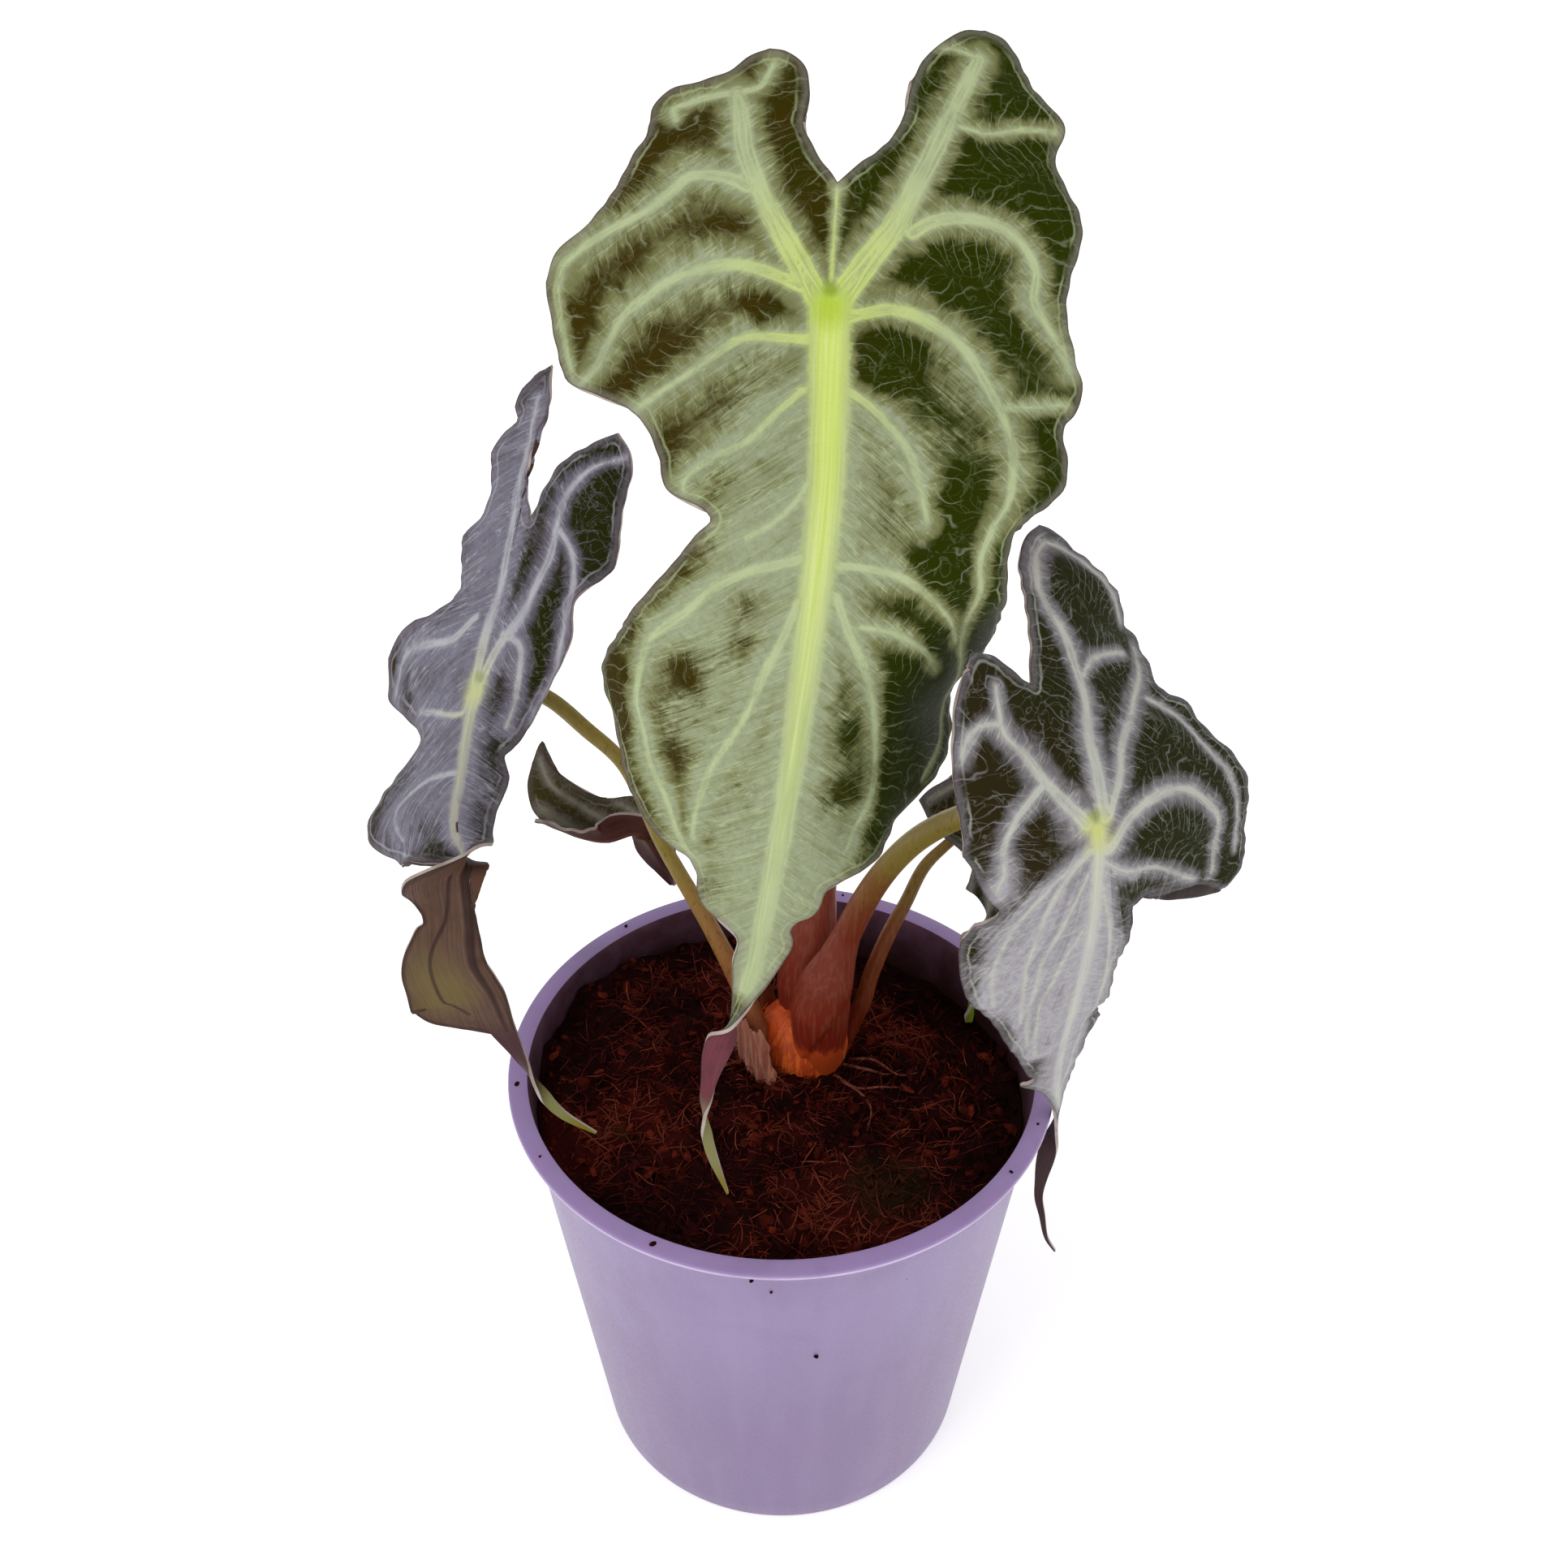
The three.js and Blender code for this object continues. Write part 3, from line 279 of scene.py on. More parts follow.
def grime_group():
    """Soft stains and fine dust that more than one material carries."""
    group, enter, leave = effect("grime", ["Place"], [], ["Size", "Amount"], ["Mask", "Grain"])
    broad = noise(group, enter["Place"], enter["Size"], 5, 0.6, 0.6)
    stains = maths(group, "MULTIPLY", fade(group, broad, 0.42, 0.72), enter["Amount"])
    return put_out(group, leave, Mask=stains, Grain=noise(group, enter["Place"], 1800, 2))


grime = grime_group()

plastic, tree, shader = material("pot_lilac_plastic", Roughness=0.42, Specular_IOR_Level=0.45,
                                 Sheen_Weight=0.15, Sheen_Roughness=0.35)
place = here(tree)
marks = use(tree, grime, {"Place": place, "Size": 42.0, "Amount": 0.5})
height = wire(tree, "SeparateXYZ", place, out=2)
# Painted shade: the outside wall is painted darker towards the bottom.
wall_with_painted_shade = over(tree, dye(128, 107, 147), dye(144, 126, 167), height, 0.03, 0.1)
# Painted light: the flange is painted lighter than the wall below it.
rim_colour = over(tree, wall_with_painted_shade, dye(152, 127, 177), height, 0.1050, 0.1064)
# Painted highlight: a thin light line along the lower edge of the flange.
glint_line_gap = wire(tree, "Math", maths(tree, "SUBTRACT", height, 0.1069), operation="ABSOLUTE")
rim_colour = over(tree, rim_colour, dye(216, 202, 230), glint_line_gap, 0.0002, 0.0006, 0.75, 0.0)
stained = mix(tree, marks["Mask"], rim_colour, dye(128, 106, 146))
streaks = wire(tree, "Mapping", place, (0, 0, 0), (0, 0, 0), (1, 1, 0.12))
drawn = fade(tree, noise(tree, streaks, 160, 3), 0.35, 0.75, 0.0, 0.16)
feed(tree, shader, mix(tree, drawn, stained, dye(160, 142, 180)),
     fade(tree, marks["Grain"], 0.3, 0.7, 0.36, 0.5), marks["Grain"], 0.12)

# Painted shade: the inside of the pot is painted darker and redder than the same lilac plastic outside, with
# stains over it.
inside, tree, shader = material("pot_inside_shaded_plastic", Roughness=0.5, Specular_IOR_Level=0.4)
place = here(tree)
marks = use(tree, grime, {"Place": place, "Size": 90.0, "Amount": 0.8})
height = wire(tree, "SeparateXYZ", place, out=2)
# The inside darkens towards the soil to near black-brown, with a ragged edge.
ragged_offset = noise(tree, place, 120, 5, 0.65)
line = wire(tree, "Math", ragged_offset, 0.016, height, operation="MULTIPLY_ADD")
shaded_stained_wall = mix(tree, marks["Mask"], dye(108, 76, 98), dye(80, 46, 54))
feed(tree, shader, over(tree, dye(40, 14, 12), shaded_stained_wall, line, 0.1, 0.121),
     None, marks["Grain"], 0.15)

pot.data.materials.append(plastic)
pot.data.materials.append(inside)
for face in pot.data.polygons:
    middle = face.center
    out = math.hypot(middle.x, middle.y)
    looks_in = face.normal.x * middle.x + face.normal.y * middle.y < 0
    if (looks_in and 0.005 < middle.z < 0.1075) or (middle.z < 0.005 and face.normal.z > 0.3):
        face.material_index = 1
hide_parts("pot")
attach(pot, "root")


# Soil
# Damp coir and bark mix that fills the pot. It is heaped at the back left. Crumbs, bark chips and
# coir fibres lie loose on it, and a few specks of it stick to the rim and the wall.
SOIL_TOP = 95
SOIL_RELIEF = 1.3
SOIL_GAP = 0.3
SOIL_REACH = 53.5
CORM_PLACE = (4.2, 16)
CORM_CLEARANCE = 11
draw = np.random.default_rng(11)


def soil_height(x, y):
    """Height of the soil's crumbly top in mm."""
    raised = 7 * np.exp(-((x + 36) ** 2 + (y - 22) ** 2) / 1100)
    sunk = 3 * np.exp(-((x - 32) ** 2 + (y - 30) ** 2) / 700)
    broad = np.sin(x * 0.37 + y * 0.21) + np.sin(y * 0.43 - x * 0.29 + 1.3)
    crumb = broad + 0.6 * np.sin(x * 0.83 + y * 0.71)
    bits = np.sin(x * 1.9 + 2 * np.sin(y * 1.1)) * np.sin(y * 2.2 + 2 * np.sin(x * 1.3))
    clumps = np.sin(x * 0.9 + 3 * np.sin(y * 0.31)) * np.sin(y * 0.8 + 2 * np.sin(x * 0.37))
    centre = 0.8 * np.exp(-(x * x + y * y) / 500)
    return SOIL_TOP + centre + raised - sunk + 0.5 * SOIL_RELIEF * crumb + 0.45 * bits + 0.7 * clumps


soil_floor = FLOOR + SOIL_GAP
soil_rings = [(2, soil_floor), (13.2, soil_floor), (15.1, soil_floor + CHANNEL_RISE),
              (36.4, soil_floor + CHANNEL_RISE), (38.4, soil_floor), (BASE_RADIUS - WALL - 0.4, soil_floor)]
soil_rings += [(wall_radius(z) - WALL - SOIL_GAP, z) for z in np.linspace(4, SOIL_TOP - 2, 12)]
soil_rings += [(r, SOIL_TOP) for r in np.linspace(wall_radius(SOIL_TOP) - WALL - 0.4, 0.8, 60)]
soil = turned("soil_mix", soil_rings, 150)
points = points_of(soil) / MM
top = points[:, 2] > SOIL_TOP - 0.5
x, y = points[top, 0], points[top, 1]
points[top, 2] = soil_height(x, y)
grow = (wall_radius(points[:, 2]) - WALL - 0.4) / (wall_radius(SOIL_TOP) - WALL - 0.4)
rim_share = np.clip((np.hypot(points[:, 0], points[:, 1]) - 48) / 5, 0, 1)
points[top, :2] *= (1 + (grow - 1) * rim_share)[top, None]
put_points(soil, points * MM)
smooth(soil, 60)


def scattered(name, template, places, turns, sizes, tints, wobble):
    """Many small pieces in one mesh: a template that is turned, sized, dented and set at each place."""
    base = points_of(template) / MM
    faces = np.array([tuple(f.vertices) for f in template.data.polygons])
    bpy.data.objects.remove(template)
    count, own = len(places), len(base)
    dents = 1 + wobble * draw.normal(size=(count, own, 1))
    shape = base[None] * dents * sizes[:, None, :]
    moved = np.einsum("nij,nkj->nki", turns, shape) + places[:, None, :]
    all_faces = (faces[None] + (np.arange(count) * own)[:, None, None]).reshape(-1, faces.shape[1])
    mesh = bpy.data.meshes.new(name)
    mesh.from_pydata((moved.reshape(-1, 3) * MM).tolist(), [], all_faces.tolist())
    mesh.update()
    piece = bpy.data.objects.new(name, mesh)
    bpy.context.collection.objects.link(piece)
    tint = mesh.attributes.new("tint", "FLOAT", "POINT")
    tint.data.foreach_set("value", np.repeat(tints, own))
    return piece


def random_turns(count, flat=1.0):
    """Rotation matrices; flat below 1 keeps pieces nearer to lying down."""
    spin = draw.uniform(0, 2 * math.pi, count)
    tilt, roll = draw.normal(0, flat, count), draw.normal(0, flat, count)
    zero, one = np.zeros(count), np.ones(count)
    about_z = [[np.cos(spin), -np.sin(spin), zero], [np.sin(spin), np.cos(spin), zero], [zero, zero, one]]
    about_x = [[one, zero, zero], [zero, np.cos(tilt), -np.sin(tilt)], [zero, np.sin(tilt), np.cos(tilt)]]
    about_y = [[np.cos(roll), zero, np.sin(roll)], [zero, one, zero], [-np.sin(roll), zero, np.cos(roll)]]
    first, second, third = (np.moveaxis(np.array(m), -1, 0) for m in (about_z, about_x, about_y))
    return first @ second @ third


def on_soil(count, lift, reach=SOIL_REACH):
    """Random places on the soil, clear of the stems."""
    radius = reach * np.sqrt(draw.uniform(0, 1, count * 2))
    angle = draw.uniform(0, 2 * math.pi, count * 2)
    px, py = radius * np.cos(angle), radius * np.sin(angle)
    clear = np.hypot(px - CORM_PLACE[0], py - CORM_PLACE[1]) > CORM_CLEARANCE
    px, py = px[clear][:count], py[clear][:count]
    return np.stack([px, py, soil_height(px, py) + lift], 1)


def fibre(name, length, radius, bend, parts=6, sides=3):
    """A thin, bent fibre lying along X, in mm."""
    run = np.linspace(-0.5, 0.5, parts + 1)
    ring = 2 * math.pi * np.arange(sides + 1) / sides
    thick = radius * np.sqrt(np.clip(1 - (2 * run) ** 4, 0.02, 1))
    table = np.zeros((parts + 1, sides + 1, 3))
    table[..., 0] = (run * length)[:, None]
    table[..., 1] = (bend * length * (0.25 - run ** 2) * 2)[:, None] + thick[:, None] * np.cos(ring)
    table[..., 2] = (bend * length * 0.6 * np.sin(run * 5))[:, None] + thick[:, None] * np.sin(ring)
    return laid(name, table)


def laid(name, table):
    """A grid of faces laid through a table of points in mm. Equal points are merged."""
    rows, columns = table.shape[0] - 1, table.shape[1] - 1
    piece = fresh(bpy.ops.mesh.primitive_grid_add, x_subdivisions=rows, y_subdivisions=columns, size=1)
    flat = points_of(piece)
    i = np.rint((flat[:, 0] + 0.5) * rows).astype(int)
    j = np.rint((flat[:, 1] + 0.5) * columns).astype(int)
    put_points(piece, table[i, j] * MM)
    edit_all(bpy.ops.mesh.remove_doubles, threshold=1e-6)
    piece.name = name
    return piece


crumb_count = 3400
crumb_base = fresh(bpy.ops.mesh.primitive_ico_sphere_add, subdivisions=1, radius=1 * MM)
crumb_size = ((0.25 + 0.95 * draw.uniform(0, 1, (crumb_count, 1)) ** 3)
              * draw.uniform(0.6, 1.3, (crumb_count, 3)))
crumbs = scattered("soil_crumbs", crumb_base, on_soil(crumb_count, 0.15), random_turns(crumb_count),
                   crumb_size * np.array([1.15, 0.85, 0.6]), draw.uniform(0, 1, crumb_count), 0.3)
chip_count = 200
chip_base = fresh(bpy.ops.mesh.primitive_ico_sphere_add, subdivisions=2, radius=1 * MM)
chip_size = np.stack([draw.uniform(0.9, 2.6, chip_count), draw.uniform(0.6, 1.6, chip_count),
                      draw.uniform(0.2, 0.6, chip_count)], 1)
chips = scattered("bark_chips", chip_base, on_soil(chip_count, 0.3), random_turns(chip_count, 0.45),
                  chip_size, draw.uniform(0, 1, chip_count), 0.2)
fibre_sets = []
for length, thickness, bend, count in ((4, 0.11, 0.1, 900), (6, 0.12, 0.17, 800), (9, 0.13, -0.14, 420),
                                       (14, 0.15, 0.2, 70)):
    fibre_base = fibre("fibre", length, thickness, bend)
    stretch = draw.uniform(0.7, 1.3, (count, 3))
    places = on_soil(count, 0.5, 52.5 - 0.6 * length)
    fibre_sets.append(scattered(f"fibres_{length}", fibre_base, places, random_turns(count, 0.28),
                                stretch, draw.uniform(0, 1, count), 0.0))
fibres = join("coir_fibres", fibre_sets)

# Specks that stick to the pot: azimuth in degrees from +X, height, size
specks = []
for azimuth, level, size in ((-116, 108.1, 1.0), (-172, 108.1, 0.9), (-35, 108.1, 0.6), (-20, 108.1, 0.5),
                             (-96, 101.5, 0.7), (-92, 97.8, 0.55), (-82, 72.5, 0.9), (-79, 103, 0.45),
                             (-150, 108.1, 0.5), (20, 108.1, 0.6), (75, 108.1, 0.5), (130, 108.1, 0.7)):
    angle = math.radians(azimuth)
    out = 58 if level > POT_HEIGHT else wall_radius(level) + 0.1
    specks.append([out * math.cos(angle), out * math.sin(angle), level, size])
specks = np.array(specks)
speck_base = fresh(bpy.ops.mesh.primitive_ico_sphere_add, subdivisions=2, radius=1 * MM)
speck_size = specks[:, 3:] * np.array([0.8, 0.55, 0.4])
speck_piece = scattered("pot_specks", speck_base, specks[:, :3], random_turns(len(specks), 0.1),
                        speck_size, np.full(len(specks), 0.1), 0.05)


SOIL_SHADES = ("Dark", "Middle", "Light")
ALGAE_PLACE = (0.022, -0.026, 0.095)


def soil_group():
    """Damp crumbly grain of the soil and of all that lies on it, in lighter and darker clumps that are partly
    painted light and shade, with a patch of algae.
    """
    labels = ["Place"], SOIL_SHADES, ["Tint", "Grain"], ["Colour", "Height"]
    group, enter, leave = effect("soil_grain", *labels)
    place = enter["Place"]
    grain = noise(group, place, enter["Grain"], 4, 0.65)
    bright = maths(group, "MULTIPLY", maths(group, "POWER", enter["Tint"], 2.2), 0.55)
    shade = maths(group, "ADD", maths(group, "MULTIPLY", grain, 0.6), bright)
    body = over(group, enter["Dark"], enter["Middle"], shade, 0.2, 0.55)
    body = over(group, body, enter["Light"], shade, 0.55, 0.9)
    # Lighter and darker clumps: partly the soil's own uneven tone, partly painted light and shade.
    clump_and_light = noise(group, place, 34, 3, 0.6)
    body = over(group, body, enter["Light"], clump_and_light, 0.5, 0.64, 0, 0.55)
    body = over(group, body, enter["Dark"], clump_and_light, 0.38, 0.52, 0.85, 0)
    patch = noise(group, place, 55, 2)
    body = over(group, body, dye(44, 40, 12), patch, 0.66, 0.76, 0, 0.35)
    off_patch = from_place(group, place, ALGAE_PLACE)
    off_patch = maths(group, "ADD", off_patch, maths(group, "MULTIPLY", patch, 0.012))
    algae = mix(group, grain, dye(12, 8, 2), dye(40, 32, 12))
    body = over(group, body, algae, off_patch, 0.012, 0.019, 0.7, 0)
    return put_out(group, leave, Colour=body, Height=grain)


soil_grain = soil_group()


def soil_material(name, grain, *shades):
    made, tree, shader = material(name, Roughness=0.85, Specular_IOR_Level=0.06)
    tint = wire(tree, "Attribute", out=2, attribute_name="tint")
    shown = use(tree, soil_grain, {"Place": here(tree), "Tint": tint, "Grain": grain,
                                   **dict(zip(SOIL_SHADES, shades))})
    feed(tree, shader, shown["Colour"], None, shown["Height"], 0.7, 0.0006)
    return made


soil.data.materials.append(soil_material("soil_dark", 700, dye(22, 2, 2), dye(40, 5, 4), dye(66, 15, 9)))
crumb_finish = soil_material("soil_crumb", 900, dye(26, 2, 2), dye(52, 7, 5), dye(98, 30, 19))
crumbs.data.materials.append(crumb_finish)
speck_piece.data.materials.append(crumb_finish)
chips.data.materials.append(soil_material("bark_chip", 500, dye(32, 4, 3), dye(60, 12, 7), dye(112, 38, 20)))
fibres.data.materials.append(soil_material("coir_fibre", 600, dye(44, 7, 4), dye(78, 22, 14),
                                           dye(136, 62, 44)))
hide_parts("soil")
for piece in (soil, crumbs, chips, fibres, speck_piece):
    smooth(piece, 50)
    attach(piece, "root")


# Corm
# The swollen orange foot of the plant, wrapped in thin papery scales. Five main roots run from it
# down through the soil, and a few thin feeding roots show on top.
CORM_CENTRE = np.array([*CORM_PLACE, 97])
CORM_RADIUS = 10.5
CORM_HALF_HEIGHT = 12
ROOTS = [
    [[4, 16, 90], [-12, 4, 76], [-24, -14, 58], [-28, -20, 36]],
    [[4, 16, 90], [22, 2, 74], [32, -12, 56], [30, -22, 34]],
    [[4, 16, 90], [18, 28, 72], [26, 32, 50], [18, 34, 26]],
    [[4, 16, 90], [-12, 26, 72], [-26, 28, 52], [-28, 20, 30]],
    [[4, 16, 89], [2, 2, 66], [6, -8, 44], [0, -4, 20]],
]


def bow(t, start, end, leaving, arriving):
    """A smooth way from start to end, with its slope at both, for t from 0 to 1."""
    square, cube = t * t, t ** 3
    return ((2 * cube - 3 * square + 1) * start + (cube - 2 * square + t) * leaving
            + (3 * square - 2 * cube) * end + (cube - square) * arriving)


def curve_through(points, share):
    """Places and directions on a centripetal curve through points, at shares 0 to 1 of its way."""
    p = np.asarray(points, float)
    p = np.vstack([2 * p[0] - p[1], p, 2 * p[-1] - p[-2]])
    spot = np.clip(np.asarray(share, float), 0, 1) * (len(p) - 3)
    i = np.minimum(spot.astype(int), len(p) - 4)
    t = (spot - i)[:, None]
    a, b, c, d = p[i], p[i + 1], p[i + 2], p[i + 3]
    gap = [np.maximum(np.linalg.norm(q - r, axis=1, keepdims=True) ** 0.5, 1e-4)
           for q, r in ((a, b), (b, c), (c, d))]
    out = ((b - a) / gap[0] - (c - a) / (gap[0] + gap[1]) + (c - b) / gap[1]) * gap[1]
    back = ((c - b) / gap[1] - (d - b) / (gap[1] + gap[2]) + (d - c) / gap[2]) * gap[1]
    square = t * t
    slope = (6 * square - 6 * t) * b + (3 * square - 4 * t + 1) * out + (6 * t - 6 * square) * c
    slope += (3 * square - 2 * t) * back
    return bow(t, b, c, out, back), slope / np.linalg.norm(slope, axis=1, keepdims=True)


def stem(name, points, radii, rings, sides, swell=None):
    """A round rod with closed ends along a smooth curve. swell(share, angle) widens it in places."""
    share = np.linspace(0, 1, rings + 1)
    centre, along = curve_through(points, share)
    radius = np.interp(share * (len(radii) - 1), np.arange(len(radii)), radii)
    angle = 2 * math.pi * np.arange(sides + 1) / sides
    side = np.array([1.0, 0, 0])
    table = np.zeros((rings + 3, sides + 1, 3))
    for i in range(rings + 1):
        side = side - along[i] * side.dot(along[i])
        side = side / np.linalg.norm(side)
        other = np.cross(along[i], side)
        wide = radius[i] * (swell(share[i], angle) if swell else np.ones_like(angle))
        wide[-1] = wide[0]
        ring = side * np.cos(angle)[:, None] + other * np.sin(angle)[:, None]
        table[i + 1] = centre[i] + ring * wide[:, None]
    table[:, -1] = table[:, 0]
    table[0], table[-1] = centre[0], centre[-1]
    piece = laid(name, table)
    edit_all(bpy.ops.mesh.normals_make_consistent, inside=False)
    return piece


def flake(name, angles, heights, lift, tears, thickness=0.22):
    """A papery scale on the corm's side, between two angles and two heights, with a torn upper edge."""
    rows, columns = 18, 26
    t = np.linspace(0, 1, rows + 1)[:, None]
    s = np.linspace(0, 1, columns + 1)[None, :]
    torn = 0.5 * np.sin(s * 23 + tears) + 0.35 * np.sin(s * 51 + 2 * tears)
    taper = 1 - 0.45 * t ** 2
    angle = math.radians(angles[0]) + math.radians(angles[1] - angles[0]) * (0.5 + (s - 0.5) * taper)
    z = heights[0] + (heights[1] - heights[0] + torn) * t
    level = np.clip(z / CORM_HALF_HEIGHT, -0.97, 0.97)
    bulge = CORM_RADIUS * np.sqrt(1 - level ** 2) + 0.35 + lift * t ** 2 + 0.25 * np.sin(s * 9 + tears) * t
    table = np.stack([CORM_CENTRE[0] + bulge * np.cos(angle), CORM_CENTRE[1] + bulge * np.sin(angle),
                      CORM_CENTRE[2] + z + 0 * angle], 2)
    piece = laid(name, table)
    finish_with(piece, "SOLIDIFY", thickness=thickness * MM, offset=0)
    return piece


ball = fresh(bpy.ops.mesh.primitive_uv_sphere_add, segments=72, ring_count=44, radius=1 * MM)
skin = points_of(ball) / MM
turn = np.arctan2(skin[:, 1], skin[:, 0])
wrinkle = 1 + 0.02 * np.sin(9 * turn + 6 * skin[:, 2]) + 0.012 * np.sin(31 * turn + 5 * skin[:, 2])
skin *= np.array([CORM_RADIUS, CORM_RADIUS, CORM_HALF_HEIGHT]) * wrinkle[:, None]
put_points(ball, (skin + CORM_CENTRE) * MM)
roots = [stem("root", points, [1.5, 1.5, 1.2, 0.75], 30, 8) for points in ROOTS]
corm = join("corm_body", [ball] + roots)
scales = join("corm_scales", [
    flake("scale", (-150, -60), (-4, 6.5), 0.5, 0.3), flake("scale", (-100, -10), (-5, 4.5), 0.7, 1.7),
    flake("scale", (-60, 30), (-4, 7), 0.6, 2.6), flake("scale", (-135, -80), (0, 12.5), 2.2, 4.1),
    flake("scale", (20, 110), (-4, 6), 0.6, 5.0), flake("scale", (110, 200), (-4, 7), 0.6, 0.9),
])
feeding_roots = join("feeding_roots", [
    stem("thread", [[x, y, soil_height(x, y) + dz] for x, y, dz in line], [0.38, 0.32, 0.24, 0.12], 24, 6)
    for line in (
        [(12, 7, 0.2), (17, 3, 1.2), (22, 2, 0.8), (27, 4, 0.2)],
        [(14, 10, 0.2), (20, 8, 1.6), (24, 9, 1.0), (28, 12, -0.2)],
        [(13, 6, -0.2), (18, 0, 0.9), (20, -4, 1.1), (19, -9, 0.1)],
        [(15, 12, 0), (21, 12, 1.0), (27, 9, 0.8), (31, 8, 0.0)],
        [(-8, 10, 0), (-14, 4, 0.9), (-16, -2, 0.8), (-20, -4, 0.1)],
    )])


def papery_group():
    """Fine lines up the skin, darker blotches and a colour that changes with height."""
    group, enter, leave = effect("papery_skin", ["Place"], ["Foot", "Line", "Top"],
                                 ["Low", "High", "Lines", "Smooth", "Rough"],
                                 ["Colour", "Roughness", "Height"])
    place = enter["Place"]
    squeezed = wire(group, "Mapping", place, None, None, (1, 1, 0.06))
    thread = noise(group, squeezed, enter["Lines"], 3, 0.6, 0.3)
    height = wire(group, "SeparateXYZ", place, out=2)
    body = over(group, enter["Foot"], enter["Top"], height, enter["Low"], enter["High"])
    body = over(group, body, enter["Line"], thread, 0.42, 0.62)
    blotch = noise(group, place, 160, 4, 0.6)
    body = over(group, body, enter["Foot"], blotch, 0.5, 0.75, 0, 0.45)
    rough = fade(group, thread, 0.3, 0.7, enter["Smooth"], enter["Rough"])
    return put_out(group, leave, Colour=body, Roughness=rough, Height=thread)


papery_skin = papery_group()


def papery(name, low, high, foot, line, top, lines, roughness=0.5, sheen=0.0):
    """A papery material, whose colour changes between two heights in mm."""
    made, tree, shader = material(name, Specular_IOR_Level=0.25, Sheen_Weight=sheen)
    shown = use(tree, papery_skin, {
        "Place": here(tree), "Foot": foot, "Line": line, "Top": top, "Low": low * MM, "High": high * MM,
        "Lines": lines, "Smooth": roughness - 0.1, "Rough": roughness + 0.12})
    feed(tree, shader, shown["Colour"], shown["Roughness"], shown["Height"], 0.5, 0.0005)
    return made


corm.data.materials.append(papery("corm_skin", 92, 104, dye(156, 42, 14), dye(220, 94, 30),
                                  dye(206, 80, 30), 900))
scales.data.materials.append(papery("corm_scale", 94, 108, dye(170, 54, 20), dye(230, 108, 42),
                                    dye(208, 90, 44), 1100, 0.45))
feeding_roots.data.materials.append(papery("feeding_root", 90, 104, dye(92, 36, 24), dye(126, 68, 48),
                                           dye(112, 54, 38), 900))
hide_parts("corm")
for piece in (corm, scales, feeding_roots):
    smooth(piece, 55)
    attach(piece, "root")


# Dry sheath
# A brown, papery remnant of an old leaf base. It stands beside the corm, curled and torn at its
# edges, and its foot is caught in the soil.
rows, columns = 40, 44
t = np.linspace(0, 1, rows + 1)[:, None]
s = np.linspace(-1, 1, columns + 1)[None, :]
torn = 0.9 * np.sin(s * 7 + 0.6) + 0.5 * np.sin(s * 19 + 1.1) + 0.3 * np.sin(s * 43)
height = 88 + (24 + torn) * t
reach = np.radians(34 - 14 * t * t + 1.6 * np.sin(t * 17) + 0.8 * np.sin(t * 41))
radius = 13.2 + 2.6 * t + 0.4 * np.sin(5 * t) + 0.25 * np.sin(s * 16 + 3 * t)
angle = math.pi * 1.2 + reach * s
sheath = laid("dry_sheath", np.stack([CORM_CENTRE[0] + radius * np.cos(angle),
                                      CORM_CENTRE[1] + radius * np.sin(angle), height + 0 * s], 2))
finish_with(sheath, "SOLIDIFY", thickness=0.4 * MM, offset=0)
sheath.data.materials.append(papery("sheath_paper", 96, 112, dye(140, 70, 50), dye(182, 118, 92),
                                    dye(162, 94, 70), 1400, 0.6, 0.2))
smooth(sheath, 55)
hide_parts("sheath")
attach(sheath, "root")


# Petioles
# The stalks of the leaves, juicy and round. Their feet widen into sheaths that clasp each other
# and the corm. They are brick red at the foot and turn olive further up, with fine dark flecks.
PETIOLES = {
    "front": ([[5, 18, 94], [5.6, 19, 102], [5.8, 20, 113], [7.3, 20.5, 126.5], [8.4, 20.5, 138],
               [8.6, 20, 170], [8.6, 19.5, 205], [8.6, 14, 250], [8.4, 6, 272], [8.2, 0, 281.5]],
              [4, 5.6, 6.6, 5.2, 3.7, 3, 2.6, 2.2, 2, 1.9]),
    "left": ([[-3.9, 11.8, 90], [-5.6, 12.6, 104], [-8.2, 14.2, 113.5], [-15.4, 17.5, 130.3],
              [-22.4, 22, 142.6], [-26.2, 25, 149], [-34, 31, 165.5], [-41.5, 33, 173], [-51.1, 33, 182.4],
              [-63.1, 25, 188.7]],
             [2.4, 2.7, 2.3, 1.9, 1.7, 1.6, 1.6, 1.7, 1.7, 1.6]),
    "right": ([[8.8, 10.5, 95], [8.8, 9.8, 104], [8.9, 9.6, 114], [10.2, 10, 121.7], [12.3, 10.8, 128],
               [14.4, 11, 134.8], [18.9, 9, 148.2], [23.4, 4.6, 160.2], [28.8, -2.4, 172.4],
               [36, -10.4, 183.4], [46.5, -26, 198], [54.9, -42, 203.7]],
              [4, 6, 6.6, 5.8, 4.1, 3.1, 2.8, 2.6, 2.5, 2.3, 2, 1.8]),
    "back_left": ([[-2.5, 23, 93], [-3.5, 23.5, 104], [-6.5, 24, 115], [-10.6, 25, 127.4],
                   [-17.1, 29, 140.6], [-22.5, 32, 145.5], [-27.3, 34.5, 146], [-31.8, 35, 143.5]],
                  [2, 2, 1.9, 1.7, 1.5, 1.4, 1.3, 1.2]),
    "back_right": ([[13.5, 17.5, 92], [16.2, 16.5, 102.9], [18.4, 17, 108.6], [20.4, 18.5, 116.4],
                    [24.1, 21, 126.1], [27.7, 23, 133.4], [31.6, 25, 142], [36.1, 26.5, 146.7],
                    [43, 28, 152.5], [50, 28, 158]],
                   [2, 2, 2, 1.8, 1.7, 1.5, 1.4, 1.2, 1.1, 1.1]),
}
